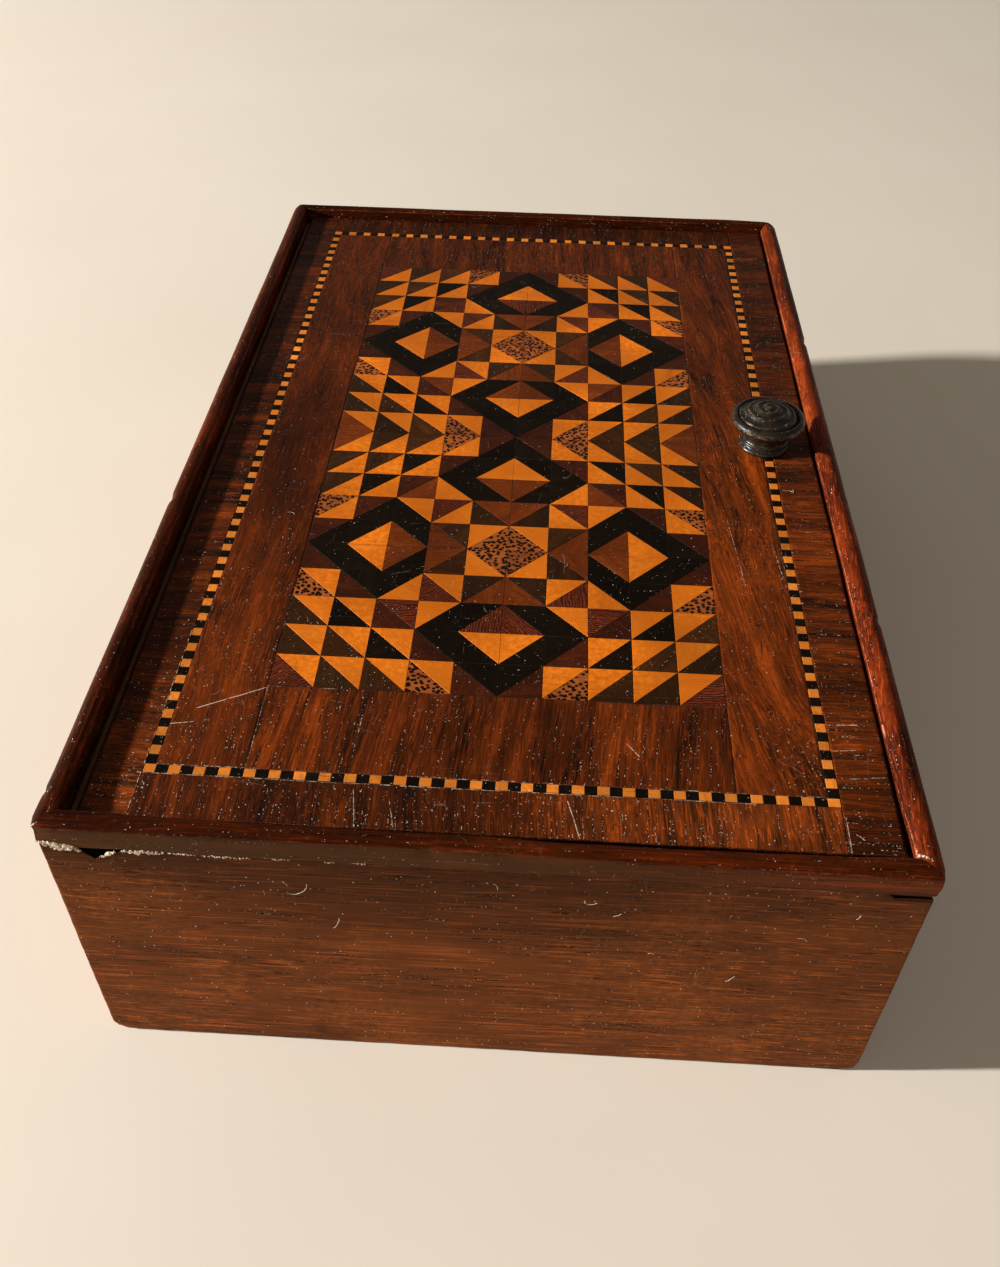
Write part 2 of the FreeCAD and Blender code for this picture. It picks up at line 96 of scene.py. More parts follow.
# One sum of numbers, or of vectors where one of them is a vector. Numbers are spread to vectors here:
# where the renderer has to do it, a wood with many marks runs out of room and turns black.
def calc(operation, *parts, clamp=False):
    if not any(hasParts(part) for part in parts):
        return draw("Math", dict(enumerate(parts)), operation=operation, use_clamp=clamp)
    parts = [(part,) * 3 if isinstance(part, (int, float)) else part for part in parts]
    parts = [part if hasParts(part) else vector(part, part, part) for part in parts]
    made = draw("VectorMath", dict(enumerate(parts)), operation=operation)
    return made["Value" if operation in ("DOT_PRODUCT", "LENGTH") else "Vector"]


def largest(*parts):
    total, *others = parts
    for part in others:
        total = calc("MAXIMUM", total, part)
    return total


def fade(*values):
    start = (0, 1) if len(values) == 3 else ()
    return draw("MapRange", dict(enumerate(values + start)), interpolation_type="SMOOTHSTEP")


def mixColour(share, first, second, blend="MIX"):
    return draw("Mix", {0: share, 6: first, 7: second}, data_type="RGBA", blend_type=blend)[2]


def vector(x, y, z):
    return draw("CombineXYZ", {0: x, 1: y, 2: z})


def height(place, axis="Z"):
    return draw("SeparateXYZ", {0: place})[axis]


def grey(level):
    return draw("CombineColor", {0: level, 1: level, 2: level})


def cloud(place, stretch, detail=2, rough=0.5, twist=0):
    return draw("TexNoise", {"Vector": place * stretch, "Scale": 1, "Detail": detail, "Roughness": rough,
                             "Distortion": twist})


def cells(place, stretch, space="3D"):
    made = draw("TexVoronoi", {"Vector": place * stretch, "Scale": 1}, voronoi_dimensions=space)
    parts = draw("SeparateColor", {0: made.Color})
    return made.Distance, parts[0], parts[1]


# A group takes a place and some values, which have a start here, and gives what it is closed with
def newGroup(name, **takes):
    tree = page["tree"] = bpy.data.node_groups.new(name, "ShaderNodeTree")
    kinds = {float: "Float", tuple: "Color", Vector: "Vector"}
    for label, start in dict(place=Vector(), **takes).items():
        kind = "NodeSocket" + kinds[type(start)]
        tree.interface.new_socket(label, in_out="INPUT", socket_type=kind).default_value = start
    return draw("NodeGroupInput")


def closed(**gives):
    tree = page["tree"]
    for label, source in gives.items():
        kind = "NodeSocketColor" if source.socket.type == "RGBA" else "NodeSocketFloat"
        tree.interface.new_socket(label, in_out="OUTPUT", socket_type=kind)
    draw("NodeGroupOutput", gives)
    return tree


def fill(group, place, **feeds):
    return draw("Group", dict(place=place, **feeds), node_tree=group)


# Wood: bands, streaks, dark lines, bright flecks and rows of open pores, all running along X
grainStart = dict(band=5.0, streak=0.7, contrast=1.5, sway=3.0, stretch=20.0, mottle=0.2, lines=0.3,
                  flecks=0.4, pores=0.4, poreLength=2.5, poreWidth=0.16)
woodColours = ("dark", "middle", "light")


def makeGrain():
    take = newGroup("grain", filled=0.2, **grainStart, **{name: (0.0, 0.0, 0.0, 1.0) for name in woodColours})
    bend = (cloud(take.place, (0.017, 0.04, 0.04), 1.5) - 0.5) * take.sway
    place = take.place + vector(0, bend, bend)
    shifted = place + (7, 41, 23)

    def lengthwise(width, ratio):
        across = 1 / width
        return vector(across / ratio, across, across)

    bands = cloud(place, lengthwise(take.band, 9), 3, 0.55, 0.7)
    streaks = cloud(place, lengthwise(take.streak, take.stretch), 3, 0.6, 0.2)
    fibres = cloud(place, lengthwise(0.154, take.stretch), 2, 0.6)
    figure = bands * 0.5 + streaks * 0.3 + fibres * 0.2
    figure = (figure - 0.5) * take.contrast + 0.5
    colour = mixColour(fade(figure, 0.1, 0.5), take.dark, take.middle)
    colour = mixColour(fade(figure, 0.5, 0.95), colour, take.light)
    blotch = (cloud(shifted, (0.2, 0.34, 0.34), 5, 0.62, 0.6) - 0.5) * (take.mottle * 4) + 1
    colour = mixColour(1, colour, grey(blotch), "MULTIPLY")
    fleck = fade(cloud(shifted, lengthwise(0.36, take.stretch * 0.6), 1), 0.57, 0.68)
    bright = mixColour(1, take.light, (1.35, 1.25, 1.1, 1), "MULTIPLY")
    colour = mixColour(fleck * take.flecks, colour, bright)
    rings = calc("FRACT", bands * 11 + streaks * 1.2)
    inked = fade(abs(rings - 0.5), 0.02, 0.13, 1, 0) * fade(cloud(shifted, (0.06, 0.3, 0.3)), 0.4, 0.6)
    colour = mixColour(inked * take.lines, colour, take.dark)
    width = take.poreWidth * 2.2
    rows = cloud(place, lengthwise(width, 75), 0)
    dashes = cloud(shifted, lengthwise(width, take.poreLength / width), 0)
    limit = (bands - 0.5) * 0.25 + (take.pores * -0.16 + 0.7)
    pore = fade(rows - limit, 0, 0.05) * fade(dashes, 0.42, 0.52)
    pale = fade(take.filled * 0.3 + cloud(shifted, (2.2, 4.2, 4.2), 1), 0.66, 0.74)
    return closed(colour=colour, pore=pore, pale=pore * pale, relief=streaks * 0.25 + (fibres * 0.35 - pore))


# Pale dust: round specks of two sizes, thicker where the amount is high
def makeDust():
    take = newGroup("dust", amount=0.3)
    limit = take.amount * fade(cloud(take.place, 0.09), 0.35, 0.7, 0.3, 1.5)
    masks = []
    for pitch, share, reach in ((1.7, 0.5, 0.08), (0.62, 0.34, 0.17)):
        away, chance, size = cells(take.place, 1 / pitch)
        speck = fade((size * 0.7 + 0.3) * reach - away, -0.04, 0.03)
        masks.append(speck * fade(limit * share - chance, -0.02, 0.02))
    return closed(mask=largest(*masks))


# Hair-fine scratches that wander, in two directions
def makeScratches():
    take = newGroup("scratches", amount=0.3)
    masks = []
    for stretch, shift in (((0.012, 0.11, 0.05), 3), ((0.09, 0.02, 0.05), 11)):
        place = take.place + shift
        line = fade(abs(cloud(place, stretch, 1) - 0.5), 0, 0.0016, 1, 0)
        masks.append(line * fade(cloud(place, 0.16), 0.56, 0.66))
    return closed(mask=largest(*masks) * take.amount)


# One scratch or seam line between two places, broken up along its length
def makeMark():
    take = newGroup("mark", start=Vector(), end=Vector(), width=0.2, broken=0.5)
    wander = draw("TexNoise", {"Vector": take.place, "Scale": 0.22, "Detail": 1})[1] - 0.5
    fromStart = take.place + wander * (0.3, 0.3, 0) - take.start
    way = take.end - take.start
    along = calc("DIVIDE", calc("DOT_PRODUCT", fromStart, way), calc("DOT_PRODUCT", way, way), clamp=True)
    line = fade(calc("LENGTH", fromStart - way * along) / take.width, 0.3, 1, 1, 0)
    return closed(mask=line * fade(cloud(take.place, 1.1, 4, 0.7) - take.broken * 0.75, 0, 0.16))


# Worn arrises and old polish, from the pieces' own edge attribute
def makeWear():
    take = newGroup("wear", edge=0.0, amount=0.5)
    rough = cloud(take.place, 0.8, 4, 0.65)
    large = cloud(take.place, 0.045)
    level = take.edge * (large * 0.8 + 0.6) + (rough - 0.5) * 0.9
    return closed(rubbed=fade(level, 0.72, 1.05) * take.amount, grime=fade(rough * large, 0.22, 0.42, 1, 0),
                  dull=cloud(take.place, 0.11, 4, 0.6))


# Round black blobs of a palm stem, cut on the slant
def makeBlobs():
    take = newGroup("blobs", pitch=0.86)
    inverse = 1 / take.pitch
    away, chance, size = cells(take.place, vector(inverse * 0.85, inverse, inverse), "2D")
    ragged = (cloud(take.place, 3) - 0.5) * 0.3
    spot = fade(size * 0.16 + 0.32 - away + ragged, -0.04, 0.05)
    return closed(mask=spot * fade(chance, 0.06, 0.1))


# Close wavy stripes, as in kingwood
def makeStripes():
    take = newGroup("stripes", pitch=0.58)
    bend = cloud(take.place, (0.25, 0.5, 0.5), 3, 0.6)
    place = height(take.place, "Y") / take.pitch + bend * 3.2
    return closed(mask=fade(calc("SINE", place * tau), -0.35, 0.55))


grain = makeGrain()
dust = makeDust()
scratches = makeScratches()
mark = makeMark()
wear = makeWear()
blobs = makeBlobs()
stripes = makeStripes()
dustColour = paint(238, 221, 194)

# Old seams and scratches on the lid, in millimetres: from x and y, to x and y, width and how broken each is
lidMarks = [
    (-42, -84.5, -53.4, -90.4, 0.11, 0.46), (-57.3, -94.5, -53.5, -93.8, 0.1, 0.5),
    (23.6, -93.9, 25.8, -96.8, 0.1, 0.45), (-42, -40, -42, -103.5, 0.14, 0.6),
    (46.8, -27.7, 48.8, -50.7, 0.1, 0.6), (55.6, -36, 57, -50.1, 0.09, 0.6),
    (-23.6, -90.2, -24.1, -100.2, 0.1, 0.6), (-22.8, -107.2, -21.6, -115, 0.1, 0.56),
    (-16.5, -108.9, -15.2, -114.8, 0.09, 0.58), (59.4, -87, 65, -86.8, 0.12, 0.52),
    (59.7, -93.2, 63.8, -92.9, 0.1, 0.56), (61.7, -99.4, 68.2, -98.7, 0.1, 0.56),
    (-42, -84, -8, -84, 0.11, 0.62), (-60, -105.9, 45, -105.9, 0.15, 0.56),
    (-58, -103.8, 57, -103.8, 0.1, 0.64), (-59.4, -70, -59.4, -114.8, 0.1, 0.6),
    (57.3, -6, 57.3, -104, 0.1, 0.6), (13.4, -107.4, 15.5, -115.1, 0.12, 0.5),
    (59.7, -108, 59.55, -115, 0.09, 0.5)]
lidTop = 63.7
lidMarks = [((x, y, lidTop), (toX, toY, lidTop), width, broken) for x, y, toX, toY, width, broken in lidMarks]
acrossMarks = [((-73.4, -119.9, 65.6), (-72.2, -119.2, 66.3), 0.2, 0.5)]
alongMarks = [((-72.7, -112.6, 66.4), (-72.4, -111.9, 66.5), 0.45, 0.2),
              ((73.55, -119.6, 65.2), (73.5, -99, 65.2), 0.35, 0.5)]

# Each wood: colours, the size of its figure and pores, and how worn, dusty, rough and shiny it is
wallWood = dict(
    dark=(62, 34, 14), middle=(114, 60, 22), light=(150, 80, 32), band=7, streak=0.6, contrast=1.7,
    sway=4, mottle=0.06, lines=0.45, flecks=0.8, pores=0.24, poreLength=2, poreWidth=0.1,
    poreDepth=0.85, filled=0.03, stretch=80, dust=0.3, scratched=0.1, rub=0.4, rubbed=(150, 84, 40),
    rough=(0.5, 0.66), bump=0.2, shine=0.05)
mouldingWood = dict(
    dark=(24, 8, 2), middle=(60, 22, 4), light=(112, 40, 8), band=3.2, streak=0.5, contrast=2.8, sway=3,
    mottle=0.1, lines=0.4, flecks=0.4, pores=0.4, poreLength=2, poreWidth=0.12, poreDepth=0.7,
    filled=0.04, dust=0.2, scratched=0.15, rub=0.35, rubbed=(150, 74, 34), rough=(0.36, 0.55), bump=0.16,
    shine=0.05)
crossbandWood = dict(
    dark=(26, 11, 3), middle=(74, 30, 5), light=(130, 54, 9), band=4.2, streak=0.5, contrast=3, sway=3,
    mottle=0.12, lines=0.6, flecks=0.35, pores=0.5, poreLength=3, poreWidth=0.1, poreDepth=0.8,
    filled=0.3, dust=0.5, scratched=0.2, rub=0.4, rubbed=(120, 66, 30), rough=(0.4, 0.58), bump=0.24,
    shine=0.07, marks=lidMarks, lid=True)
fieldWood = dict(
    crossbandWood, dark=(34, 14, 3), middle=(90, 36, 5), light=(144, 60, 11), filled=0.18, dust=0.36)
tileWood = dict(
    turn=0, band=4, streak=0.4, contrast=1.9, sway=1.5, mottle=0.1, lines=0.25, flecks=0.25, pores=0.3,
    poreLength=1.4, poreWidth=0.1, poreDepth=0.6, filled=0.15, dust=0.26, scratched=0.2, rub=0,
    rubbed=(0, 0, 0), rough=(0.38, 0.54), bump=0.12, spread=0.45, shine=0.08, tiled=True)
plainWood = dict(
    dark=(84, 50, 26), middle=(120, 76, 42), light=(146, 98, 58), band=6, streak=0.7, contrast=1.7,
    sway=5, mottle=0.1, lines=0.2, flecks=0.3, pores=0.5, poreLength=2.4, poreWidth=0.14, poreDepth=0.5,
    filled=0.04, dust=0.2, scratched=0.3, rub=0.3, rubbed=(160, 116, 76), rough=(0.55, 0.75), bump=0.25,
    shine=0.3)
liningWood = dict(
    plainWood, dark=(86, 42, 18), middle=(126, 64, 30), light=(154, 84, 42), rough=(0.44, 0.62),
    rubbed=(176, 110, 64))

woodLooks = {
    "wallWoodAcross": dict(wallWood, turn=-1.2, seed=3),
    "wallWoodAlong": dict(wallWood, turn=90, seed=8),
    "mouldingWoodAcross": dict(
        mouldingWood, turn=0, seed=21, contrast=2.2, flecks=0.3, stretch=40, shine=0.03,
        faded=(78, 51, 23), marks=acrossMarks),
    "mouldingWoodAlong": dict(mouldingWood, turn=90, seed=24, marks=alongMarks),
    # A brighter copy of the moulding wood for the right side, whose inner slope faces the key lamp: painted
    # light. Its paler, heavier rubbing is partly wear and partly painted highlight.
    "mouldingWoodLit": dict(
        mouldingWood, turn=86, seed=27, dark=(44, 13, 4), middle=(96, 33, 7), light=(156, 64, 22), band=4.5,
        mottle=0.26, sway=7, rub=0.8, rubbed=(186, 118, 88), marks=alongMarks),
    "crossbandWoodNear": dict(crossbandWood, turn=92, seed=31, filled=0.14, poreLength=5, dust=0.75),
    "crossbandWoodFar": dict(crossbandWood, turn=88, seed=33),
    "crossbandWoodAcross": dict(crossbandWood, turn=0, seed=35, filled=0.16, dust=0.36),
    "fieldWoodNear": dict(
        fieldWood, turn=85, seed=42, band=3.8, contrast=3.3, filled=0.12, poreLength=5, dust=0.5),
    "fieldWoodFar": dict(fieldWood, turn=90, seed=44),
    "fieldWoodLeft": dict(
        fieldWood, turn=90, seed=47, band=5, contrast=2.2, sway=10, mottle=0.3, lines=0.35, stretch=36,
        pores=0.36),
    "fieldWoodRight": dict(
        fieldWood, turn=98, seed=49, band=5, contrast=2.5, sway=14, mottle=0.16, lines=0.75,
        stretch=44, pores=0.3),
    "boxwoodTile": dict(
        tileWood, seed=50, dark=(204, 95, 16), middle=(234, 121, 22), light=(246, 144, 46), contrast=1.5,
        mottle=0.02, lines=0, pores=0.06, poreDepth=0.3, flecks=0.08, filled=0, dust=0.12, bump=0.07,
        spread=0.14),
    "boxwoodBlock": dict(
        tileWood, seed=53, dark=(204, 102, 26), middle=(236, 134, 44), light=(250, 164, 76), contrast=1.6,
        lines=0, pores=0.1, poreDepth=0.4, flecks=0.15, filled=0, dust=0.2, bump=0.1, spread=0.4),
    "ebonyTile": dict(
        tileWood, seed=57, dark=(13, 7, 3), middle=(22, 13, 5), light=(38, 24, 10), flecks=0.1, filled=0.12,
        dust=0.36, pores=0.2, shine=0.05),
    "palmTile": dict(
        tileWood, seed=61, dark=(136, 66, 26), middle=(168, 88, 38), light=(192, 110, 54), lines=0,
        pores=0.1, filled=0, dust=0.12, spread=0.3, blobs=(30, 9, 2)),
    "kingwoodTile": dict(
        tileWood, seed=66, dark=(84, 32, 14), middle=(118, 48, 22), light=(154, 74, 38), lines=0,
        spread=0.3, stripes=(62, 22, 9)),
    "rosewoodTile": dict(tileWood, seed=71, dark=(38, 14, 5), middle=(66, 25, 7), light=(98, 40, 12)),
    "walnutTile": dict(
        tileWood, seed=77, dark=(30, 16, 5), middle=(52, 28, 8), light=(78, 43, 13), filled=0.2),
    "oliveTile": dict(
        tileWood, seed=83, dark=(40, 20, 5), middle=(66, 34, 8), light=(94, 50, 13), contrast=2.4),
    "mahoganyTile": dict(tileWood, seed=89, dark=(78, 30, 6), middle=(114, 48, 9), light=(144, 68, 16)),
    "knobEbony": dict(
        tileWood, seed=93, turn=90, dark=(17, 12, 6), middle=(30, 22, 12), light=(62, 47, 27), dust=0.25,
        scratched=0.6, rub=0.7, rubbed=(122, 98, 72), rough=(0.2, 0.42), bump=0.25, shine=0.32, tiled=False),
    "carcassWoodAcross": dict(plainWood, turn=0, seed=101),
    "carcassWoodAlong": dict(plainWood, turn=90, seed=107),
    "liningWoodAcross": dict(liningWood, turn=0, seed=113),
    "liningWoodAlong": dict(liningWood, turn=90, seed=117),
}


# Starts an empty tree for a material or a world
def blank(item):
    item.use_nodes = True
    page["tree"] = item.node_tree
    item.node_tree.nodes.clear()
    return item


def surface(feeds):
    draw("OutputMaterial", {"Surface": draw("BsdfPrincipled", feeds)})


def reading(name):
    return draw("Attribute", attribute_name=name)["Fac"]


def millimetres():
    return draw("TexCoord")["Object"] * 1000


def relief(level, strength, depth):
    return draw("Bump", {"Height": level, "Strength": strength, "Distance": depth})


# The piece's own coordinates, turned so that the grain runs along X
def alongGrain(plain, look):
    angle = radians(-look["turn"])
    moved = plain
    if look.get("tiled"):
        angle = reading("turn") * -1
        moved = plain + reading("tone") * 700
    turned = draw("VectorRotate", {"Vector": moved, "Angle": angle}, rotation_type="Z_AXIS")
    shift = look["seed"] * 17.3
    return turned + (shift, shift * 0.7, shift * 0.3)


def woodMaterial(name, look):
    material = blank(bpy.data.materials.new(name))
    plain = millimetres()
    grained = alongGrain(plain, look)
    amount = look["dust"]
    filled = look["filled"]
    # Dust lies thicker towards the near edge of the lid
    if look.get("lid") or look.get("tiled"):
        along = height(plain, "Y")
        nearness = fade(along, -118, -10, 1, 0.25) * fade(along, -117, -103, 1.7, 1)
        amount = nearness * amount
        filled = nearness * filled
    figure = fill(grain, grained, filled=filled, **{name: look[name] for name in grainStart if name in look},
                  **{name: paint(*look[name]) for name in woodColours})
    spread = look.get("spread", 0.5)
    tone = reading("tone") * spread + (1 - spread / 2)
    tone = tone * fade(cloud(plain, 0.05), 0.3, 0.7, 0.86, 1.12)
    colour = mixColour(1, figure.colour, grey(tone), "MULTIPLY")
    for part, group in (("blobs", blobs), ("stripes", stripes)):
        if part in look:
            colour = mixColour(fill(group, grained), colour, paint(*look[part]))
    darker = mixColour(1, colour, (0.16, 0.12, 0.1, 1), "MULTIPLY")
    colour = mixColour(figure.pore * look["poreDepth"], colour, darker)
    ageing = fill(wear, plain, edge=reading("edge"), amount=look["rub"])
    colour = mixColour(ageing.grime * 0.35, colour, darker)
    colour = mixColour(ageing.rubbed, colour, paint(*look["rubbed"]))
    # The front of a moulding below its lip is mixed towards an olive brown
    if "faded" in look:
        colour = mixColour(reading("faded") * (ageing.dull * 0.7 + 0.35), colour, paint(*look["faded"]))
    # Darker patches: a little random dirt, and painted shade inside the chip in the near wall, from the
    # piece's attribute
    soil = fade(ageing.dull * 0.5 + reading("soil"), 0.4, 1.3)
    colour = mixColour(soil, colour, paint(14, 8, 4))
    pale = largest(figure.pale * 0.6, fill(scratches, plain, amount=look["scratched"]) * 0.55)
    for start, end, width, broken in look.get("marks", ()):
        line = fill(mark, plain, start=start, end=end, width=width, broken=broken)
        pale = largest(pale, line * 0.8)
    pale = largest(pale, fill(dust, plain, amount=amount) * 0.75)
    low, high = look["rough"]
    bare = largest(pale, figure.pore, soil)
    surface({
        "Base Color": mixColour(pale, colour, dustColour),
        "Roughness": calc("ADD", bare * 0.25, ageing.dull * (high - low) + low, clamp=True),
        "Normal": relief(pale * 0.4 + figure.relief, look["bump"], 0.0001),
        "Specular IOR Level": look["shine"]})
    return material


woods = {name: woodMaterial(name, look) for name, look in woodLooks.items()}
print("wood finishes:", len(woods))


# Old velvet: short nap, crushed in cloudy patches
def velvetMaterial(look):
    material = blank(bpy.data.materials.new("fadedVelvet"))
    plain = millimetres()
    crushed = cloud(plain, (0.045, 0.07, 0.07), 4, 0.62, 0.6)
    level = cloud(plain, 3.2) * 0.4 + crushed * 0.6
    colour = mixColour(fade(level, 0.34, 0.66), paint(*look["deep"]), paint(*look["worn"]))
    specks = fill(dust, plain, amount=look["dust"])
    surface({
        "Base Color": mixColour(specks * 0.6, colour, dustColour),
        "Roughness": fade(crushed, 0.3, 0.7, 0.78, 0.95), "Normal": relief(level, 0.5, 0.0004),
        "Sheen Weight": 0.6, "Sheen Roughness": 0.4, "Sheen Tint": paint(*look["sheen"])})
    return material


# Plain dull brass, putty, lint and glue: colours, size of the patches, roughness and metal
def dullMaterial(name, dark, light, patch, rough, metal=0):
    material = blank(bpy.data.materials.new(name))
    plain = millimetres()
    patches = cloud(plain, patch, 4, 0.65)
    surface({
        "Base Color": mixColour(fade(patches, 0.34, 0.66), paint(*dark), paint(*light)),
        "Roughness": fade(patches, 0.3, 0.7, *rough), "Metallic": metal,
        "Normal": relief(cloud(plain, 4) * 0.5 + patches, 0.4, 0.0002)})
    return material


velvet = velvetMaterial(dict(deep=(70, 14, 28), worn=(118, 40, 54), sheen=(206, 150, 158), dust=0.25))
brass = dullMaterial("dullBrass", (96, 70, 34), (176, 138, 74), 0.9, (0.3, 0.55), 1)
putty = dullMaterial("oldPutty", (136, 108, 82), (222, 204, 178), 0.8, (0.7, 0.9))
lint = dullMaterial("lint", (190, 170, 146), (232, 222, 206), 0.5, (0.8, 0.95))
glue = dullMaterial("oldGlue", (26, 13, 7), (72, 48, 30), 0.16, (0.5, 0.8))

# Knocks, as places where an edge or corner is pushed in: place, reach, push, in millimetres
boxKnocks = [
    ((-73.2, -119.7, 0), 3, (0.55, 0.35, 0.4)), ((73.2, -119.7, 0), 3.4, (-0.4, 0.3, 0.35)),
    ((-73.2, 119.7, 0), 3.8, (0.5, -0.35, 0.4)), ((73.2, 119.7, 0), 3.8, (-0.5, -0.35, 0.5)),
    ((-73.9, -120.4, 64.8), 3, (0.5, 0.5, 0.1)), ((73.9, -120.4, 64.8), 2.6, (-0.4, 0.4, 0)),
    ((-73.9, 120.4, 65), 3.4, (0.9, -0.9, -0.3)), ((73.9, 120.4, 65), 4, (-1.2, -1.2, -0.3)),
    ((-73, -112.4, 65.3), 1.3, (0.3, 0, -0.35)), ((-73.4, -31, 65.2), 2.2, (0.3, 0, -0.2)),
    ((-9, -120.1, 64.9), 2, (0, 0.25, -0.15)), ((36.5, -120.2, 64.7), 1.2, (0, 0.3, -0.2)),
    ((73.4, 48, 65), 2.4, (-0.3, 0, -0.2)), ((73.6, -60, 64.8), 1.4, (-0.35, 0, -0.15)),
    ((21, 120.1, 64.9), 1.6, (0, -0.35, -0.2))]


# Mesh helpers
def placed(name, data):
    item = bpy.data.objects.new(name, data)
    bpy.context.scene.collection.objects.link(item)
    return item


def newObject(name, points, faces, links=()):
    mesh = bpy.data.meshes.new(name)
    mesh.from_pydata([tuple(point) for point in points], links, faces)
    mesh.validate()
    return placed(name, mesh)


def pieceName(node):
    first, *rest = node.split("_")
    return first + "".join(word.capitalize() for word in rest)


def store(piece, name, values):
    piece.data.attributes.new(name, "FLOAT", "POINT").data.foreach_set("value", values)


# Stores what a rule says of each point, whose place it gets in millimetres
def measured(piece, name, rule):
    store(piece, name, [rule(vertex.co / mm) for vertex in piece.data.vertices])


# Patches of lighter and darker colour, from the wood and from painted light and shade, in the plane of x and
# one other axis
def toned(piece, base, patches, other=1):
    def tone(place):
        return max(-1.2, base + sum(
            amount * exp(-((place.x - x) / reachX) ** 2 - ((place[other] - y) / reachY) ** 2)
            for x, y, reachX, reachY, amount in patches))
    measured(piece, "tone", tone)


# The plain mesh that the modifiers leave
def settled(piece):
    return bpy.data.meshes.new_from_object(piece.evaluated_get(bpy.context.evaluated_depsgraph_get()))


def opened(mesh):
    shell = bmesh.new()
    shell.from_mesh(mesh)
    return shell


def shut(shell, mesh):
    shell.to_mesh(mesh)
    shell.free()


def unit(value):
    return min(1, max(0, value))


# Marks along one side of a board, closer together at its rounded ends
def spread(low, high, cell, radius):
    room = high - low
    margins = [0, 0.3 * radius, radius] + [radius + part * cell for part in (0.3, 0.7, 1.2, 1.8)]
    margins = [margin for margin in margins if margin < 0.45 * room]
    middle = room - 2 * margins[-1]
    count = max(1, round(middle / cell))
    inner = [low + margins[-1] + middle * step / count for step in range(1, count)]
    return [low + margin for margin in margins] + inner + [high - margin for margin in reversed(margins)]


def knocked(point):
    moved = point.copy()
    for place, reach, push in boxKnocks:
        away = (point - Vector(place) * mm).length / (reach * mm)
        if away < 1:
            moved += Vector(push) * mm * (1 - away * away) ** 2
    return moved


# The lid's top pieces were cut by hand: every joint wanders a little, and neighbours agree.
# Past these two lines the pieces reach further out.
handLook = dict(drift=0.09, waves=95, right=60, rightReach=0.036, near=106.5, nearReach=0.042)


def handCut(point):
    look = handLook
    flat = Vector((point.x * look["waves"], point.y * look["waves"], 0.5))
    outX = max(0, point.x - look["right"] * mm) * look["rightReach"]
    outY = max(0, -point.y - look["near"] * mm) * look["nearReach"]
    drift = Vector((noise.noise(flat), noise.noise(flat + Vector((31, 17, 5))), 0)) * look["drift"] * mm
    return point + drift + Vector((outX, -outY, 0))


rubWaves = 420
boardWaves = 55


# A thin board with rounded arrises, rubbed unevenly along its edges
def wornBoard(name, low, high, look, change=None):
    radius = look["radius"] * mm
    marks = [spread(low[axis], high[axis], look["cell"] * mm, radius) for axis in range(3)]
    last = [len(places) - 1 for places in marks]
    numbers = {}
    faces = []
    for axis in range(3):
        for end in (0, last[axis]):
            for row in range(last[axis - 2]):
                for column in range(last[axis - 1]):
                    ring = []
                    for step, slide in ((0, 0), (1, 0), (1, 1), (0, 1)):
                        key = [end, end, end]
                        key[axis - 2] = row + step
                        key[axis - 1] = column + slide
                        ring.append(numbers.setdefault(tuple(key), len(numbers)))
                    faces.append(ring if end else ring[::-1])
    points = []
    edges = []
    for key in numbers:
        point = Vector([marks[axis][key[axis]] for axis in range(3)])
        inner = Vector([min(max(point[axis], low[axis] + radius), high[axis] - radius) for axis in range(3)])
        depths = sorted(min(point[axis] - low[axis], high[axis] - point[axis]) for axis in range(3))
        edges.append(exp(-depths[1] / (look["rubReach"] * mm)))
        out = (point - inner).normalized()
        point = inner + out * radius
        point -= out * max(0, noise.noise(point * rubWaves) + 0.25) * look["rubDepth"] * mm * edges[-1]
        wave = (noise.noise(point * boardWaves) - 0.7) * look["wave"] * mm
        point += Vector([copysign(wave, -part) if abs(part) > 0.5 else 0 for part in out])
        points.append(change(point) if change else point)
    piece = newObject(name, points, faces)
    store(piece, "edge", edges)
    piece.data.shade_smooth()
    return piece


# A closed shape through rings of points, with flat ends or turned round an axis
def throughRings(name, rings, turned=False):
    width = len(rings[0])
    points = [point for ring in rings for point in ring]
    faces = []
    for start in range(0, len(points) - width, width):
        for column in range(width):
            after = start + (column + 1) % width
            faces.append([start + column, after, after + width, start + column + width])
    if not turned:
        faces += [list(range(width))[::-1], list(range(len(points) - width, len(points)))]
    piece = newObject(name, points, faces)
    shell = opened(piece.data)
    bmesh.ops.remove_doubles(shell, verts=shell.verts, dist=1e-7)
    if turned:
        caps = [face for face in shell.faces if face.calc_area() < 1e-14]
        bmesh.ops.delete(shell, geom=caps, context="FACES")
    bmesh.ops.recalc_face_normals(shell, faces=shell.faces)
    shut(shell, piece.data)
    return piece


def finish(piece, body, slot, material, *replaced, tone=0.5):
    for name, level in (("tone", tone), ("edge", 0)):
        if name not in piece.data.attributes:
            store(piece, name, [level] * len(piece.data.vertices))
    piece.data.materials.clear()
    piece.data.materials.append(material)
    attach(piece, body)
    if replaced:
        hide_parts(*replaced)


# Geometry trees start from one mesh, a seed, some numbers and a finish
def newGrowth(name, *numbers):
    tree = page["tree"] = bpy.data.node_groups.new(name, "GeometryNodeTree")
    kinds = dict(geometry="Geometry", seed="Int", finish="Material")
    for label in ("geometry", "seed", *numbers, "finish"):
        kind = "NodeSocket" + kinds.get(label, "Float")
        tree.interface.new_socket(label, in_out="INPUT", socket_type=kind)
    tree.interface.new_socket("geometry", in_out="OUTPUT", socket_type="NodeSocketGeometry")
    return draw("NodeGroupInput")


def realized(geometry):
    return draw("GeometryNodeRealizeInstances", {"Geometry": geometry})


def moved(geometry, offset, **feeds):
    return draw("GeometryNodeSetPosition", {"Geometry": geometry, "Offset": offset, **feeds})


def clad(take, geometry):
    made = draw("GeometryNodeSetMaterial", {"Geometry": geometry, "Material": take.finish})
    draw("NodeGroupOutput", {0: made})
    return page["tree"]


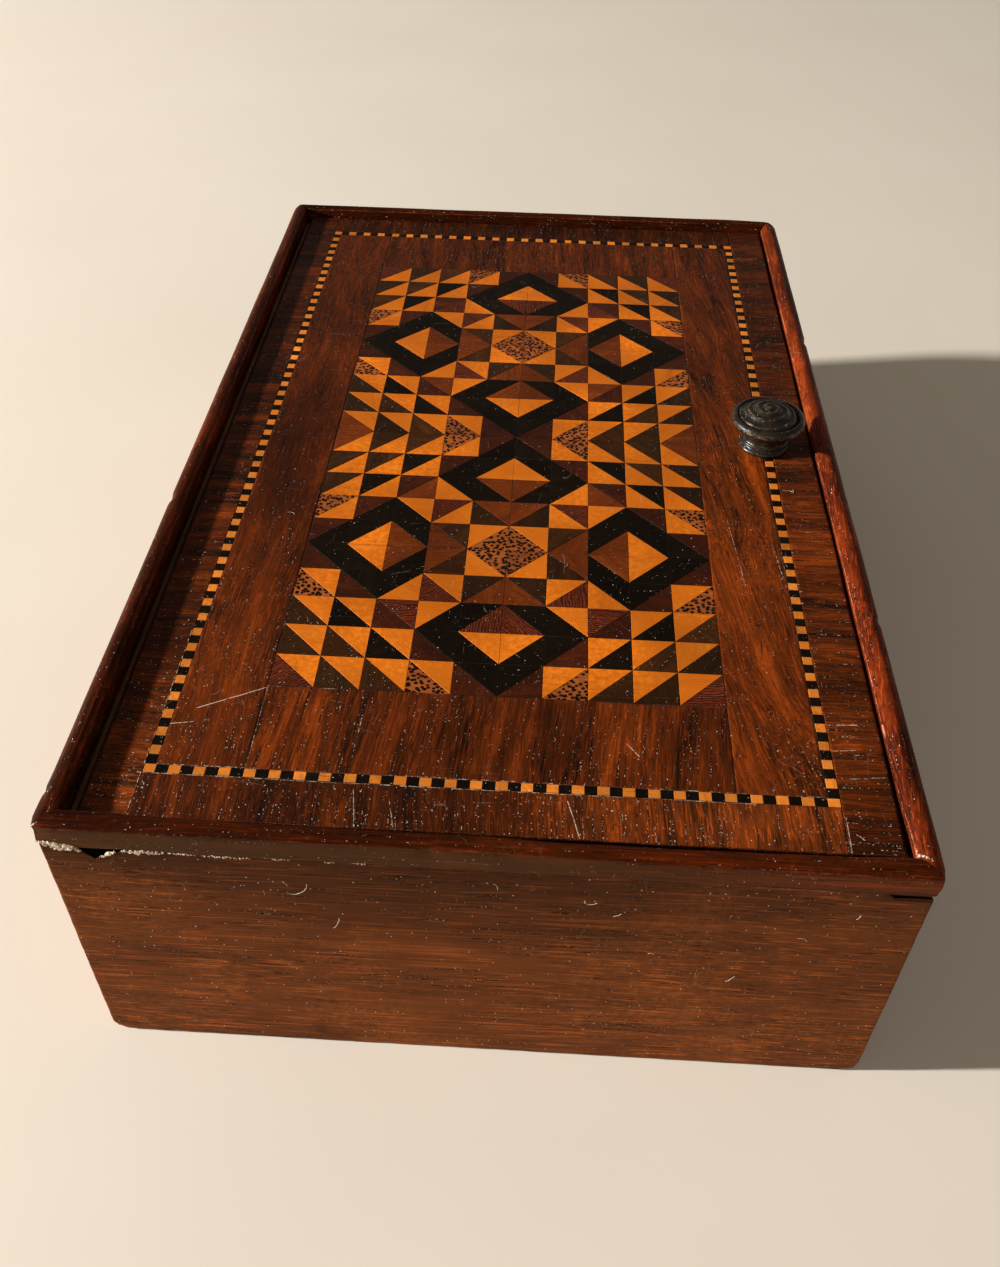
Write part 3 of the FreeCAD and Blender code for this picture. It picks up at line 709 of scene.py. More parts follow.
# Runs a geometry tree once on a drawn or copied mesh and keeps the plain result
def grown(name, source, tree, **settings):
    labels = {item.name: item.identifier for item in tree.interface.items_tree if item.in_out == "INPUT"}
    laid = source.modifiers.new("laid", "NODES")
    laid.node_group = tree
    for label, setting in settings.items():
        laid[labels[label]] = setting
    mesh = settled(source)
    bpy.data.objects.remove(source)
    return placed(name, mesh)


# Walls: cores and rosewood faces
boardLook = dict(cell=1.3, radius=0.18, rubReach=0.5, rubDepth=0.12, wave=0.04)
wallParts = dict(Face=("face_veneer", "rosewood_face", "wallWood"),
                 Core=("wall", "carcass_wood", "carcassWood"))
# The left face is made darker to offset the key lamp, which falls strongly on that side: painted shade.
faceTones = dict(near=0.5, far=0.42, left=0.1, right=0.38)
# Brighter and darker parts of the near face: middle across and up, reach across and up, amount
# The last patch darkens the top edge of the face inside the open joint at the right end: painted shade.
nearFaceTones = [
    (0, 68, 160, 22, -1.3), (2, 47, 26, 12, -0.3), (64, 55, 16, 10, 0.35), (-66, 49, 12, 9, 0.2),
    (0, 24, 130, 12, 0.12), (30, 2, 60, 7, 0.4), (-28, 15, 20, 8, -0.3), (-62, 28, 12, 7, 0.35),
    (-62, 58.5, 13, 5, -0.6), (-31.4, 4.9, 1.5, 1.1, -1.3), (70, 58.5, 4.8, 0.75, -2.2)]
# The near face ends under the front of its moulding, which drops a little below the joint.
# The joint stands open at the right end.
slitLook = dict(start=65.6, run=1.2, open=1.15, upTo=6)
chipLook = dict(left=4.2, right=6.4, tip=-0.95, depth=3.6, ragged=0.3, steps=26, inside=115.3)
boreLook = dict(radius=0.79, turns=24, start=112, end=121.5)
pinPlace = Vector((-63.55, 0, 60.2)) * mm


def lowered(face):
    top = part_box("near_moulding")[0].z
    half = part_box("right_moulding")[0].x
    for vertex in face.data.vertices:
        share = max(0, 1 - (top - vertex.co.z) / (slitLook["upTo"] * mm))
        slit = unit((vertex.co.x / mm - slitLook["start"]) / slitLook["run"]) * slitLook["open"]
        vertex.co.z -= (shapeAt("near", vertex.co.x / half)[4] + slit) * share * mm


def cutAway(piece, rings):
    tool = throughRings("tool", rings)
    cutter = piece.modifiers.new("cut", "BOOLEAN")
    cutter.object = tool
    cutter.solver = "EXACT"
    mesh = settled(piece)
    piece.modifiers.clear()
    piece.data = mesh
    bpy.data.objects.remove(tool)


# The near wall is broken away round the hinge pin, and the broken wood is painted dark: painted shade under
# the moulding
def chipped(piece):
    left, right, tip, depth, ragged, steps, inside = chipLook.values()
    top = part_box("near_wall")[1].z
    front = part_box("near_face_veneer")[0].y
    outline = []
    for step in range(steps + 1):
        across = (left + right) * step / steps - left
        reach = left + tip if across < tip else right - tip
        deep = depth * max(0, 1 - abs(across - tip) / reach)
        jag = noise.noise(Vector((across * 2.3, 4, 0))) * ragged
        outline.append((pinPlace.x + across * mm, top - (deep + jag + 0.02) * mm))
    outline += [(outline[-1][0], top + 1 * mm), (outline[0][0], top + 1 * mm)]
    depths = [front - 2 * mm, front + 0.12 * mm, front + 0.5 * mm, -inside * mm]
    cutAway(piece, [[Vector((x, y, z)) for x, z in outline] for y in depths])

    def soil(place):
        across = place.x - pinPlace.x / mm
        within = -left - 1 < across < right + 1 and place.z > top / mm - 4
        return 1.2 if within and place.y > front / mm + 0.1 else 0
    measured(piece, "soil", soil)


# The far wall only has the pin's hole
def bored(piece):
    radius, turns, start, end = boreLook.values()
    circle = [tau * turn / turns for turn in range(turns)]
    cutAway(piece, [[pinPlace + Vector((cos(turn) * radius, y, sin(turn) * radius)) * mm
                     for turn in circle] for y in (start, end)])


def makeWalls():
    for side, faceTone in faceTones.items():
        way = "Across" if side in ("near", "far") else "Along"
        for part, (ending, slot, wood) in wallParts.items():
            node = f"{side}_{ending}"
            piece = wornBoard(side + part, *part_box(node), boardLook, knocked)
            isNearFace = node == "near_face_veneer"
            if isNearFace:
                lowered(piece)
            if side in ("near", "far"):
                {"near": chipped, "far": bored}[side](piece)
            if isNearFace:
                toned(piece, faceTone, nearFaceTones, 2)
            finish(piece, "box", slot, woods[wood + way], node, tone=faceTone if part == "Face" else 0.5)


# Mouldings: a domed top ending in a lip, and a front that slopes back, mitred at the corners
mouldingLook = dict(lipRound=0.2, footRound=0.1, cell=1.1, mitreGap=0.03, wave=0.07, waves=60, worn=0.4)
# They were shaped and worn by hand: place along the length, inset, shoulder, lip, dome and drop of the front
mouldingShapes = {
    "near": [
        (-1, 0.9, 5, 4.5, 0.5, 0), (-0.92, 0.9, 4.9, 4.6, 0.5, 0.8), (-0.75, 0.9, 4.4, 4.6, 0.55, 0.75),
        (-0.4, 0.9, 3.9, 4.6, 0.55, 1.1), (0, 0.9, 3.8, 4.5, 0.55, 1.1), (0.2, 0.9, 3.1, 4.2, 0.55, 1.3),
        (0.5, 0.9, 3.1, 3.75, 0.6, 1.5), (0.8, 0.9, 3.4, 3.65, 0.6, 1.75), (1, 0.5, 3.6, 3.4, 0.9, 1.65)],
    "far": [(-1, 0.9, 4.5, 3.7, 0.95, 0), (0.8, 0.9, 4.5, 3.7, 0.95, 0), (1, 0.2, 3.2, 3.4, 1.6, 0)],
    "left": [(-1, 0.9, 5, 4.5, 0.5, 0), (-0.88, 0.9, 4.5, 3.8, 0.9, 0), (1, 0.9, 4.5, 3.7, 0.95, 0)],
    "right": [(-1, 0.5, 3.6, 3.4, 0.9, 0), (-0.88, 0.2, 3.2, 3.4, 1.6, 0), (1, 0.2, 3.2, 3.4, 1.6, 0)],
}
# Each side's wood, tone, and brighter and darker parts, from outside for near and far, else from above
mouldingWoods = {
    "near": ("Across", 0.5, [(66, 62.2, 28, 2, 4.4), (34, 62.2, 14, 2, 1.4), (-5, 62, 5, 1.2, 1.5),
                             (6, 65.8, 9, 1.2, 2.2), (30, 65.7, 10, 1.2, 0.8), (-66, 65.8, 7, 1.5, -1.1),
                             (-48, 64.2, 14, 0.8, 0.9)]),
    "far": ("Across", 0.4, []),
    # On the left, the inner slope, which lies in shade, is lightened: painted light. On the right, the inner
    # slope that faces the key lamp is lightened: painted light.
    "left": ("Along", 0.5, [(-70.2, 0, 1, 400, 2.2)]),
    "right": ("Lit", 0.5, [(71, 0, 1.4, 400, 0.6), (73.6, 0, 0.9, 400, 0.1), (71, 96, 3, 44, -0.9),
                           (71.5, -112, 3, 12, 0.6)]),
}


def shapeAt(side, share):
    rows = mouldingShapes[side]
    for before, after in zip(rows, rows[1:]):
        if share <= after[0] or after is rows[-1]:
            part = unit((share - before[0]) / (after[0] - before[0]))
            part = part * part * (3 - 2 * part)
            return [low + (high - low) * part for low, high in zip(before[1:], after[1:])]


def arcThrough(start, end, bulge, count):
    half = (end - start) / 2
    radius = (half.length ** 2 + bulge ** 2) / (2 * bulge)
    centre = start + half + half.orthogonal().normalized() * (bulge - radius)
    first = atan2(start.y - centre.y, start.x - centre.x)
    turns = [first - 2 * asin(half.length / radius) * step / count for step in range(count + 1)]
    return [centre + Vector((cos(turn), sin(turn))) * radius for turn in turns]


# Rounds one corner of an outline
def eased(before, point, after, radius):
    start, end = [point + (other - point).normalized() * min(radius, 0.45 * (other - point).length)
                  for other in (before, after)]
    shares = [step / 4 for step in range(5)]
    return [start * (1 - share) ** 2 + point * 2 * share * (1 - share) + end * share ** 2 for share in shares]


# Rounds the sharp corners of a closed outline
def softened(outline, radius):
    made = []
    for number, point in enumerate(outline):
        before = outline[number - 1]
        after = outline[(number + 1) % len(outline)]
        sharp = (before - point).angle(after - point) <= radians(155)
        made += eased(before, point, after, radius) if sharp else [point]
    return made


def mouldingSection(side, share):
    inset, shoulderHeight, lip, bulge, drop = shapeAt(side, share)
    low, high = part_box("near_moulding")
    front, back = [(high.y - corner.y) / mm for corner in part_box("near_face_veneer")]
    foot = Vector((front, -drop))
    bottom = Vector((inset, 0))
    shoulder = Vector((inset, shoulderHeight))
    tip = Vector(((high.y - low.y) / mm, lip))
    heel = Vector((back, -drop))
    dome = arcThrough(shoulder, tip, bulge, 18)
    section = [bottom.lerp(shoulder, step / 4) for step in range(4)]
    section += eased(bottom, shoulder, dome[1], mouldingLook["lipRound"]) + dome[1:-1]
    section += eased(dome[-2], tip, foot, mouldingLook["lipRound"])
    section += [tip.lerp(foot, step / 4) for step in range(1, 4)]
    section += eased(tip, foot, heel, mouldingLook["footRound"])
    section += [heel, Vector((back, 0)), Vector(((back + inset) / 2, 0))]
    return [point * mm for point in section]


def makeMoulding(side, out):
    low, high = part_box("near_moulding")
    isAcross = side in ("near", "far")
    halves = [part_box("right_moulding")[0].x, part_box("far_moulding")[0].y]
    half, inner = halves if isAcross else halves[::-1]
    along = Vector((abs(out.y), abs(out.x)))
    count = round(2 * half / (mouldingLook["cell"] * mm))
    rings = []
    for step in range(count + 1):
        share = 2 * step / count - 1
        ring = []
        for point in mouldingSection(side, share):
            run = share * (half + point.x - mouldingLook["mitreGap"] * mm)
            flat = along * run + out * (inner + point.x)
            spot = Vector((*flat, low.z + point.y))
            wave = noise.noise(spot * mouldingLook["waves"]) + 0.7
            spot += Vector((*-out, -0.6)) * wave * mouldingLook["wave"] * mm
            ring.append(knocked(spot))
        rings.append(ring)
    piece = throughRings(f"{side}Moulding", rings)
    edges = []
    frontTints = []
    for vertex in piece.data.vertices:
        flat = vertex.co.xy
        inset, shoulder, lip = shapeAt(side, flat.dot(along) / half)[:3]
        over = (flat.dot(out) - inner) / mm
        level = (vertex.co.z - low.z) / mm
        toLip = hypot(over - (high.y - low.y) / mm, level - lip)
        toShoulder = hypot(over - inset, level - shoulder)
        edge = exp(-min(toLip, toShoulder * 1.2) / mouldingLook["worn"])
        # The inner edge of the right side is rubbed pale towards its near end, partly wear and partly painted
        # highlight
        if side == "right":
            pale = unit((-0.3 - flat.y / half) * 1.6) * (0.85 + 0.8 * noise.noise(vertex.co * 240))
            edge = max(edge, pale * exp(-(toShoulder / 0.8) ** 2))
        edges.append(edge)
        # The front below the lip takes the olive tint, more towards the left end
        front = unit((lip - level) / 0.5) if over > 4 else 0
        frontTints.append(front * (0.8 - 0.5 * unit(flat.x / (60 * mm))))
    store(piece, "edge", edges)
    store(piece, "faded", frontTints)
    wood, tone, patches = mouldingWoods[side]
    toned(piece, tone, patches, 2 if isAcross else 1)
    piece.data.shade_smooth()
    piece.data.set_sharp_from_angle(angle=radians(50))
    finish(piece, "box", "rosewood_moulding", woods["mouldingWood" + wood], f"{side}_moulding")


makeWalls()
print("walls done")
for side, out in dict(near=(0, -1), far=(0, 1), left=(-1, 0), right=(1, 0)).items():
    makeMoulding(side, Vector(out))
print("mouldings done")

# Lid: cross-banding, field veneers and the plain veneer below
veneerLook = dict(cell=1.3, radius=0.12, rubReach=0.35, rubDepth=0.05, wave=0.05)
bandLook = dict(hingeRadius=5.15, round=0.1, cell=1.2, rubReach=0.35, tone=0.48)
glueLook = dict(cell=2.5, radius=0.1, rubReach=0.3, rubDepth=0, wave=0, below=0.05, sunk=0.09)
# Each veneer's wood, and its brighter and darker parts: middle, reach across and along, amount. The far
# cross-banding and far field are darkened towards the far end: painted shade.
veneers = {
    "near_crossband": ("crossbandWoodNear", [
        (20, -110, 9, 9, 2.6), (46, -110, 22, 9, 4.6), (-56, -110, 7, 9, 0.6), (-37, -110, 8, 9, -0.6),
        (36, -110, 9, 9, 1.6)]),
    "far_crossband": ("crossbandWoodFar", [(-5, 110, 75, 14, -0.95)]),
    "right_crossband": ("crossbandWoodAcross", [
        (64, -92, 7, 8, 2.6), (64, -62, 7, 14, 1.3), (64, -32, 7, 12, 1.8), (64, 22, 7, 16, 0.6),
        (64, -113, 9, 4, -0.8)]),
    "left_field_veneer": ("fieldWoodLeft", [
        (-50, -86, 11, 23, 1.1), (-50, -10, 11, 30, -1.05), (-50, 50, 12, 34, -0.6), (-52, -41, 4, 6, 0.5)]),
    "right_field_veneer": ("fieldWoodRight", [
        (50, -50, 13, 60, 1.9), (51, -10, 6, 12, 1.2), (50, -97, 8, 8, 0.5), (50, -80, 8, 8, -1),
        (46, -32, 4, 9, -0.7), (54, 14, 4, 8, -0.5)]),
    "near_field_veneer": ("fieldWoodNear", [
        (24, -94, 5, 10, 2), (12, -94, 4, 10, -0.8), (1, -94, 5, 10, -0.1), (-24, -94, 6, 10, 0.45)]),
    "far_field_veneer": ("fieldWoodFar", [(0, 94, 60, 12, -0.4), (8, 91, 14, 8, 0.35)]),
}
leftBandTones = [
    (-61, -102, 5, 15, 2.8), (-61, -109, 5, 5, 2.6), (-61, -30, 5, 9, 2.8), (-61, 25, 6, 15, -0.7),
    (-61, 95, 6, 14, -0.3)]


def makeVeneers():
    for node, (wood, patches) in veneers.items():
        piece = wornBoard(pieceName(node), *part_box(node), veneerLook, handCut)
        toned(piece, 0.5, patches)
        finish(piece, "lid", "rosewood_" + ("field" if "field" in node else "crossband"), woods[wood], node)


# The left cross-banding ends in the lid's rounded hinge edge
def makeLeftBand():
    low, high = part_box("left_crossband")
    radius = bandLook["hingeRadius"] * mm
    section = []
    for step in range(7):
        level = low.z + (high.z - low.z) * step / 6
        section.append(Vector((pinPlace.x - sqrt(radius ** 2 - (level - pinPlace.z) ** 2), level)))
    corner = Vector((high.x, high.z))
    section += [section[6].lerp(corner, step / 8) for step in range(1, 9)]
    section += [Vector((high.x, (low.z + high.z) / 2)), Vector((high.x, low.z))]
    section = softened(section, bandLook["round"] * mm)
    count = round((high.y - low.y) / (bandLook["cell"] * mm))
    rings = []
    for step in range(count + 1):
        y = low.y + (high.y - low.y) * step / count
        ring = [Vector((point.x, y, point.y)) for point in section]
        for spot in ring:
            if spot.z > low.z + 0.5 * mm:
                spot.z += noise.noise(spot * boardWaves) * veneerLook["wave"] * mm
        rings.append([handCut(spot) for spot in ring])
    piece = throughRings("leftCrossband", rings)
    measured(piece, "edge", lambda place: exp(
        -max(0, min(high.x / mm - place.x, high.y / mm - abs(place.y))) / bandLook["rubReach"]))
    toned(piece, bandLook["tone"], leftBandTones)
    finish(piece, "lid", "rosewood_crossband", woods["crossbandWoodAcross"], "left_crossband")


# Glue shows in the joints, just below the polish
def makeGlue():
    low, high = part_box("stringing_boxwood")
    below, sunk = [Vector((0, 0, glueLook[part] * mm)) for part in ("below", "sunk")]
    piece = wornBoard("glueBed", low - below, high - sunk, glueLook)
    finish(piece, "lid", "rosewood_field", glue)


def makeUnder():
    node = "lid_under_veneer"
    piece = wornBoard(pieceName(node), *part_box(node), dict(veneerLook, cell=3))
    finish(piece, "lid", "lining_wood", woods["liningWoodAlong"], node)


# Inlay: each block of the CAD node is laid by the tree with its own tone, grain turn and seat
def inlayTree():
    take = newGrowth("inlay", "bed", "seat", "shrink", "turn")
    island = draw("GeometryNodeInputMeshIsland")

    def chance(low, high, offset, number=island):
        feeds = {2: low, 3: high, "ID": number, "Seed": take.seed + offset}
        return draw("FunctionNodeRandomValue", feeds, data_type="FLOAT")[1]

    flow = take.geometry
    turn = calc("FLOOR", chance(0, 3.999, 2)) * take.turn + chance(-0.2, 0.2, 3)
    for name, value in (("tone", chance(0, 1, 1)), ("turn", turn)):
        flow = draw("GeometryNodeStoreNamedAttribute", {"Geometry": flow, "Name": name, "Value": value},
                    data_type="FLOAT", domain="POINT")
    size = calc("SUBTRACT", 1, take.shrink * chance(0, 1, 4))
    scaled = draw("GeometryNodeScaleElements", {"Geometry": flow, "Scale": size})
    levels = {0: height(draw("GeometryNodeInputPosition")), 1: take.bed}
    upper = draw("FunctionNodeCompare", levels, operation="GREATER_THAN", data_type="FLOAT")
    lift = chance(-1, 0.6, 5) + chance(-0.5, 0.5, 6, draw("GeometryNodeInputIndex"))
    return clad(take, realized(moved(scaled, vector(0, 0, lift * take.seat), Selection=upper)))


inlayLook = dict(firstSeed=11, seedStep=7, bed=0.4, seat=0.025,
                 shrink=0.012, stringShrink=0.06, arris=0.025, turn=pi / 4)
# Each inlay's finish, in the order of its seed
inlays = {
    "mosaic_boxwood": "boxwoodTile", "mosaic_ebony": "ebonyTile", "mosaic_palm_wood": "palmTile",
    "mosaic_kingwood": "kingwoodTile", "mosaic_rosewood": "rosewoodTile", "mosaic_walnut": "walnutTile",
    "mosaic_olive_wood": "oliveTile", "mosaic_mahogany": "mahoganyTile", "stringing_boxwood": "boxwoodBlock",
    "stringing_ebony": "ebonyTile"}


def makeInlay():
    tree = inlayTree()
    for number, (node, wood) in enumerate(inlays.items()):
        mesh = nodes[node].data.copy()
        shell = opened(mesh)
        bmesh.ops.remove_doubles(shell, verts=shell.verts, dist=2e-6)
        bmesh.ops.dissolve_limit(shell, angle_limit=0.02, verts=shell.verts, edges=shell.edges)
        shut(shell, mesh)
        piece = grown(
            pieceName(node), placed(f"{node}_blocks", mesh), tree, finish=woods[wood],
            seed=inlayLook["firstSeed"] + inlayLook["seedStep"] * number,
            bed=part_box(node)[1].z - inlayLook["bed"] * mm, seat=inlayLook["seat"] * mm,
            shrink=inlayLook["stringShrink" if "string" in node else "shrink"], turn=inlayLook["turn"])
        shell = opened(piece.data)
        bmesh.ops.bevel(shell, geom=shell.edges[:] + shell.verts[:], offset=inlayLook["arris"] * mm,
                        segments=1, affect="EDGES")
        shut(shell, piece.data)
        for vertex in piece.data.vertices:
            vertex.co = handCut(vertex.co)
        slot = node.split("_", 1)[1].replace("rosewood", "rosewood_tile")
        finish(piece, "lid", slot, woods[wood], node)


makeVeneers()
makeLeftBand()
makeGlue()
makeUnder()
print("veneers done")
makeInlay()
print("inlay done")

# Knob: turned profile from the axis out, as radius and height in millimetres
knobLook = dict(
    axis=(57.65, 1), base=63.7, turns=96, wobble=0.06,
    foot=[(0, -5), (2.5, -5), (2.5, 0), (5.3, 0)],
    collar=(5.3, 0.02, 1.5, 0.6), bead=(5, 1.65, 0.9, 0.4), waist=(5.1, 2.6, 5.9, 0.35),
    rim=(7.2, 6, 8.45, 1.2), groove=0.6, domeEdge=7.25, domeSteps=90, top=10.6, pitch=1.9,
    ringDepth=0.42, ringStart=1.2, rubbedRim=8.4, rubbedCollar=5.9)


def knobProfile():
    look = knobLook
    line = list(look["foot"])
    for radius, start, rise, bulge in (look["collar"], look["bead"]):
        line += [(radius + bulge * sin(pi * step / 8), start + rise * step / 8) for step in range(1, 9)]
    radius, start, end, hollow = look["waist"]
    rimX, rimLow, rimHigh, rimOut = look["rim"]
    for share in [step / 10 for step in range(1, 10)]:
        line.append((radius + (rimX - radius) * share ** 2.2 - hollow * sin(pi * share),
                     start + (end - start) * share))
    for turn in [pi * (step / 16 - 0.5) for step in range(17)]:
        line.append((rimX + rimOut * cos(turn),
                     (rimLow + rimHigh + (rimHigh - rimLow) * sin(turn)) / 2))
    rise = look["top"] - rimHigh + look["groove"]
    dome = (look["domeEdge"] ** 2 + rise ** 2) / (2 * rise)
    for step in range(1, look["domeSteps"] + 1):
        reach = look["domeEdge"] * (1 - step / look["domeSteps"])
        line.append((reach, look["top"] - dome + sqrt(dome ** 2 - reach ** 2)))
    return line


# The turned rings of the top run on into each other, like a shallow spiral
def ringCut(reach, angle):
    wave = (0.5 + 0.5 * cos(tau * reach / knobLook["pitch"] + angle)) ** 1.5
    return knobLook["ringDepth"] * (1 - wave) * min(1, reach / knobLook["ringStart"])


def makeKnob():
    line = knobProfile()
    middle = Vector((*knobLook["axis"], knobLook["base"]))
    rings = []
    for angle in [tau * turn / knobLook["turns"] for turn in range(knobLook["turns"])]:
        out = Vector((cos(angle), sin(angle)))
        ring = []
        for number, (reach, rise) in enumerate(line):
            spot = middle + Vector((*out * reach, rise))
            if number >= len(line) - knobLook["domeSteps"]:
                spot.z -= ringCut(reach, angle)
            if reach > 0.01 and rise > 0.5:
                spot += Vector((*out, 0.4)) * noise.noise(spot * 0.9) * knobLook["wobble"]
            ring.append(spot * mm)
        rings.append(ring)
    piece = throughRings("knob", rings + rings[:1], turned=True)

    # The rim, the collar and the crests of the rings are rubbed; the paler crests are partly wear and partly
    # painted highlight
    def edge(place):
        away = place - middle
        reach = away.xy.length
        rubbed = [exp(-abs(reach - knobLook["rubbedRim"]) / 0.5) * 0.9]
        if away.z < 2:
            rubbed.append(exp(-abs(reach - knobLook["rubbedCollar"]) / 0.35) * 0.4)
        if away.z > 8 and reach < knobLook["domeEdge"]:
            cut = ringCut(reach, atan2(away.y, away.x))
            rubbed.append((1 - cut / knobLook["ringDepth"]) * 0.85)
        return max(rubbed)
    measured(piece, "edge", edge)
    piece.data.shade_smooth()
    finish(piece, "lid", "ebony", woods["knobEbony"], "knob")


makeKnob()
print("knob done")

# Inside: liners, pad and pins
linerLook = dict(cell=3, radius=0.4, rubReach=0.7, rubDepth=0.1, wave=0.04)
padLook = dict(cell=2.5, radius=0.5, rubReach=1, rubDepth=0, wave=0.15, crown=0.5, creases=0.35, waves=38,
               slope=5, seam=0.6)
insideFinishes = {
    "near_liner": woods["liningWoodAcross"], "far_liner": woods["liningWoodAcross"],
    "floor_board": woods["carcassWoodAlong"], "lid_board": woods["carcassWoodAlong"],
    "near_hinge_pin": brass, "far_hinge_pin": brass}


def makeInside():
    for node in ("left_liner", "right_liner"):
        piece = wornBoard(pieceName(node), *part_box(node), linerLook)
        finish(piece, "box", "lining_wood", woods["liningWoodAlong"], node)
    for node, material in insideFinishes.items():
        nodes[node].data.materials.clear()
        nodes[node].data.materials.append(material)
    low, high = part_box("floor_pad")
    piece = wornBoard("floorPad", low, high, padLook)
    for vertex in piece.data.vertices:
        if vertex.co.z > low.z + padLook["seam"] * mm:
            inset = min(high.x - abs(vertex.co.x), high.y - abs(vertex.co.y))
            crease = padLook["creases"] * noise.noise(vertex.co * padLook["waves"])
            rise = 1 - exp(-max(0, inset) / (padLook["slope"] * mm))
            vertex.co.z += rise * (padLook["crown"] + crease) * mm
    finish(piece, "box", "velvet", velvet, "floor_pad")


makeInside()
print("inside done")

# Small litter grows along drawn paths: crumbs of putty in the joints, and lint that has settled
crumbLook = dict(spacing=0.22, rough=0.32, jitter=0.6)
lintLook = dict(thickness=0.026, points=22, wall=-119.78, lid=63.76)
# Places and sizes in millimetres: x, y, z and how far the crumbs reach
puttyPaths = [
    [(-73.1, -119.62, 61.5, 0.35), (-72, -119.62, 61.2, 0.6), (-70.4, -119.62, 60.9, 0.7),
     (-68.8, -119.62, 60.4, 0.65), (-67.3, -119.74, 60, 0.5), (-66.6, -119.72, 59.7, 0.35)],
    [(-71, -119.72, 60.3, 0.45), (-69.6, -119.72, 60, 0.5), (-68.4, -119.72, 59.7, 0.35)],
    [(-63.6, -119.5, 57.9, 0.25), (-62.6, -119.6, 58.4, 0.36), (-61.6, -119.6, 59.1, 0.36),
     (-60.6, -119.6, 59.5, 0.25)],
    [(-59.4, -119.6, 59.9, 0.25), (-58.2, -119.6, 59.9, 0.42), (-56.2, -119.6, 59.9, 0.45),
     (-54.4, -119.6, 60, 0.36), (-52.6, -119.6, 60, 0.3)],
    [(-51.8, -119.6, 60, 0.18), (-49.4, -119.65, 60, 0.2), (-47.2, -119.65, 59.9, 0.13)],
    [(-46.4, -119.6, 59.9, 0.2), (-43.6, -119.65, 59.8, 0.22), (-40.6, -119.6, 59.8, 0.26),
     (-38.2, -119.6, 59.8, 0.16)],
    [(-34.6, -119.6, 59.9, 0.22), (-31.8, -119.6, 59.9, 0.16)],
    [(-25.8, -119.6, 59.75, 0.16), (-24.4, -119.6, 59.7, 0.18)],
    [(-21.4, -119.6, 59.9, 0.14), (-19.2, -119.6, 59.9, 0.16)],
    [(69.7, -116, 64.3, 0.35), (70.1, -115.8, 64.8, 0.5), (70.6, -116.1, 65.1, 0.45),
     (71.2, -116.6, 65.3, 0.3), (71.9, -117.2, 65.3, 0.2)],
]
# Fibres on the near wall start at x and z, those on the lid at x and y; then length, heading and bend
wallLint = [
    (-29.6, 53.6, 6, -1.5, -1.3), (-33.6, 54, 1.6, -1.2, 0.3), (-24.9, 43.9, 3.6, -1.3, -0.9),
    (2.4, 55, 2, 1.3, 0.6), (22, 49, 1.8, 0.4, 0.8), (43.5, 30.5, 2.4, 0.6, 0.7),
    (55.3, 44.5, 2.4, 1.9, 0.6), (62, 52, 1.6, 0.8, 0.6), (30, 38, 1.4, 2.2, 0.5),
    (17, 53.2, 3.2, -1.9, 1.2)]
lidLint = [
    (62.3, -17, 2.2, 2.4, 0.5), (62, -17.6, 1.8, 0.7, 0.3), (-46.4, -33, 2, 1.7, 0.7),
    (61.9, -112.4, 1.6, 2, 0.4), (12, -46.5, 1.4, 0.4, 0.7)]


def crumbTree():
    take = newGrowth("crumbs", "spacing", "jitter", "roughness")
    curve = draw("GeometryNodeMeshToCurve", {"Mesh": take.geometry})
    even = draw("GeometryNodeResampleCurve", {"Curve": curve, "Length": take.spacing}, mode="LENGTH")
    reach = draw("GeometryNodeInputNamedAttribute", {"Name": "reach"})

    def chance(low, high, offset):
        feeds = {0: low, 1: high, "Seed": take.seed + offset}
        return draw("FunctionNodeRandomValue", feeds, data_type="FLOAT_VECTOR")

    drift = chance((-1, -0.3, -1), (1, 0.3, 1), 1) * take.jitter * reach
    laid = draw("GeometryNodeInstanceOnPoints", {
        "Points": moved(even, drift), "Rotation": chance((-0.5, -3.1, -0.5), (0.5, 3.1, 0.5), 3),
        "Instance": draw("GeometryNodeMeshIcoSphere", {"Radius": 1, "Subdivisions": 3}),
        "Scale": chance((0.45, 0.35, 0.45), (1.2, 0.7, 1.1), 2) * reach})
    lumps = draw("TexNoise", {"Scale": 3200, "Detail": 2})[1] - 0.5
    return clad(take, moved(realized(laid), lumps * take.roughness))


def lintTree():
    take = newGrowth("lint", "thickness")
    curve = draw("GeometryNodeMeshToCurve", {"Mesh": take.geometry})
    smooth = draw("GeometryNodeResampleCurve", {"Curve": curve, "Count": 30})
    ring = draw("GeometryNodeCurvePrimitiveCircle", {"Resolution": 6, "Radius": take.thickness})
    feeds = {"Curve": smooth, "Profile Curve": ring, "Fill Caps": True}
    return clad(take, realized(draw("GeometryNodeCurveToMesh", feeds)))


def drawn(name, paths):
    places = []
    links = []
    for path in paths:
        links += [(step, step + 1) for step in range(len(places), len(places) + len(path) - 1)]
        places += path
    source = newObject(name, [Vector(place[:3]) * mm for place in places], [], links)
    store(source, "reach", [place[3] * mm for place in places])
    return source


def fibrePaths(fibres, upright):
    paths = []
    for x, other, length, heading, bend in fibres:
        place = Vector((x, lintLook["wall"], other) if upright else (x, other, lintLook["lid"]))
        y, z = place.yz
        path = []
        for step in range(lintLook["points"]):
            path.append((*place, 0.1))
            heading += bend * 0.1 + 0.2 * noise.noise(Vector((x * 3.1 + step * 0.16, y, z)))
            goX, goOther = cos(heading), sin(heading)
            go = Vector((goX, 0, goOther) if upright else (goX, goOther, 0))
            place = place + go * length / lintLook["points"]
        paths.append(path)
    return paths


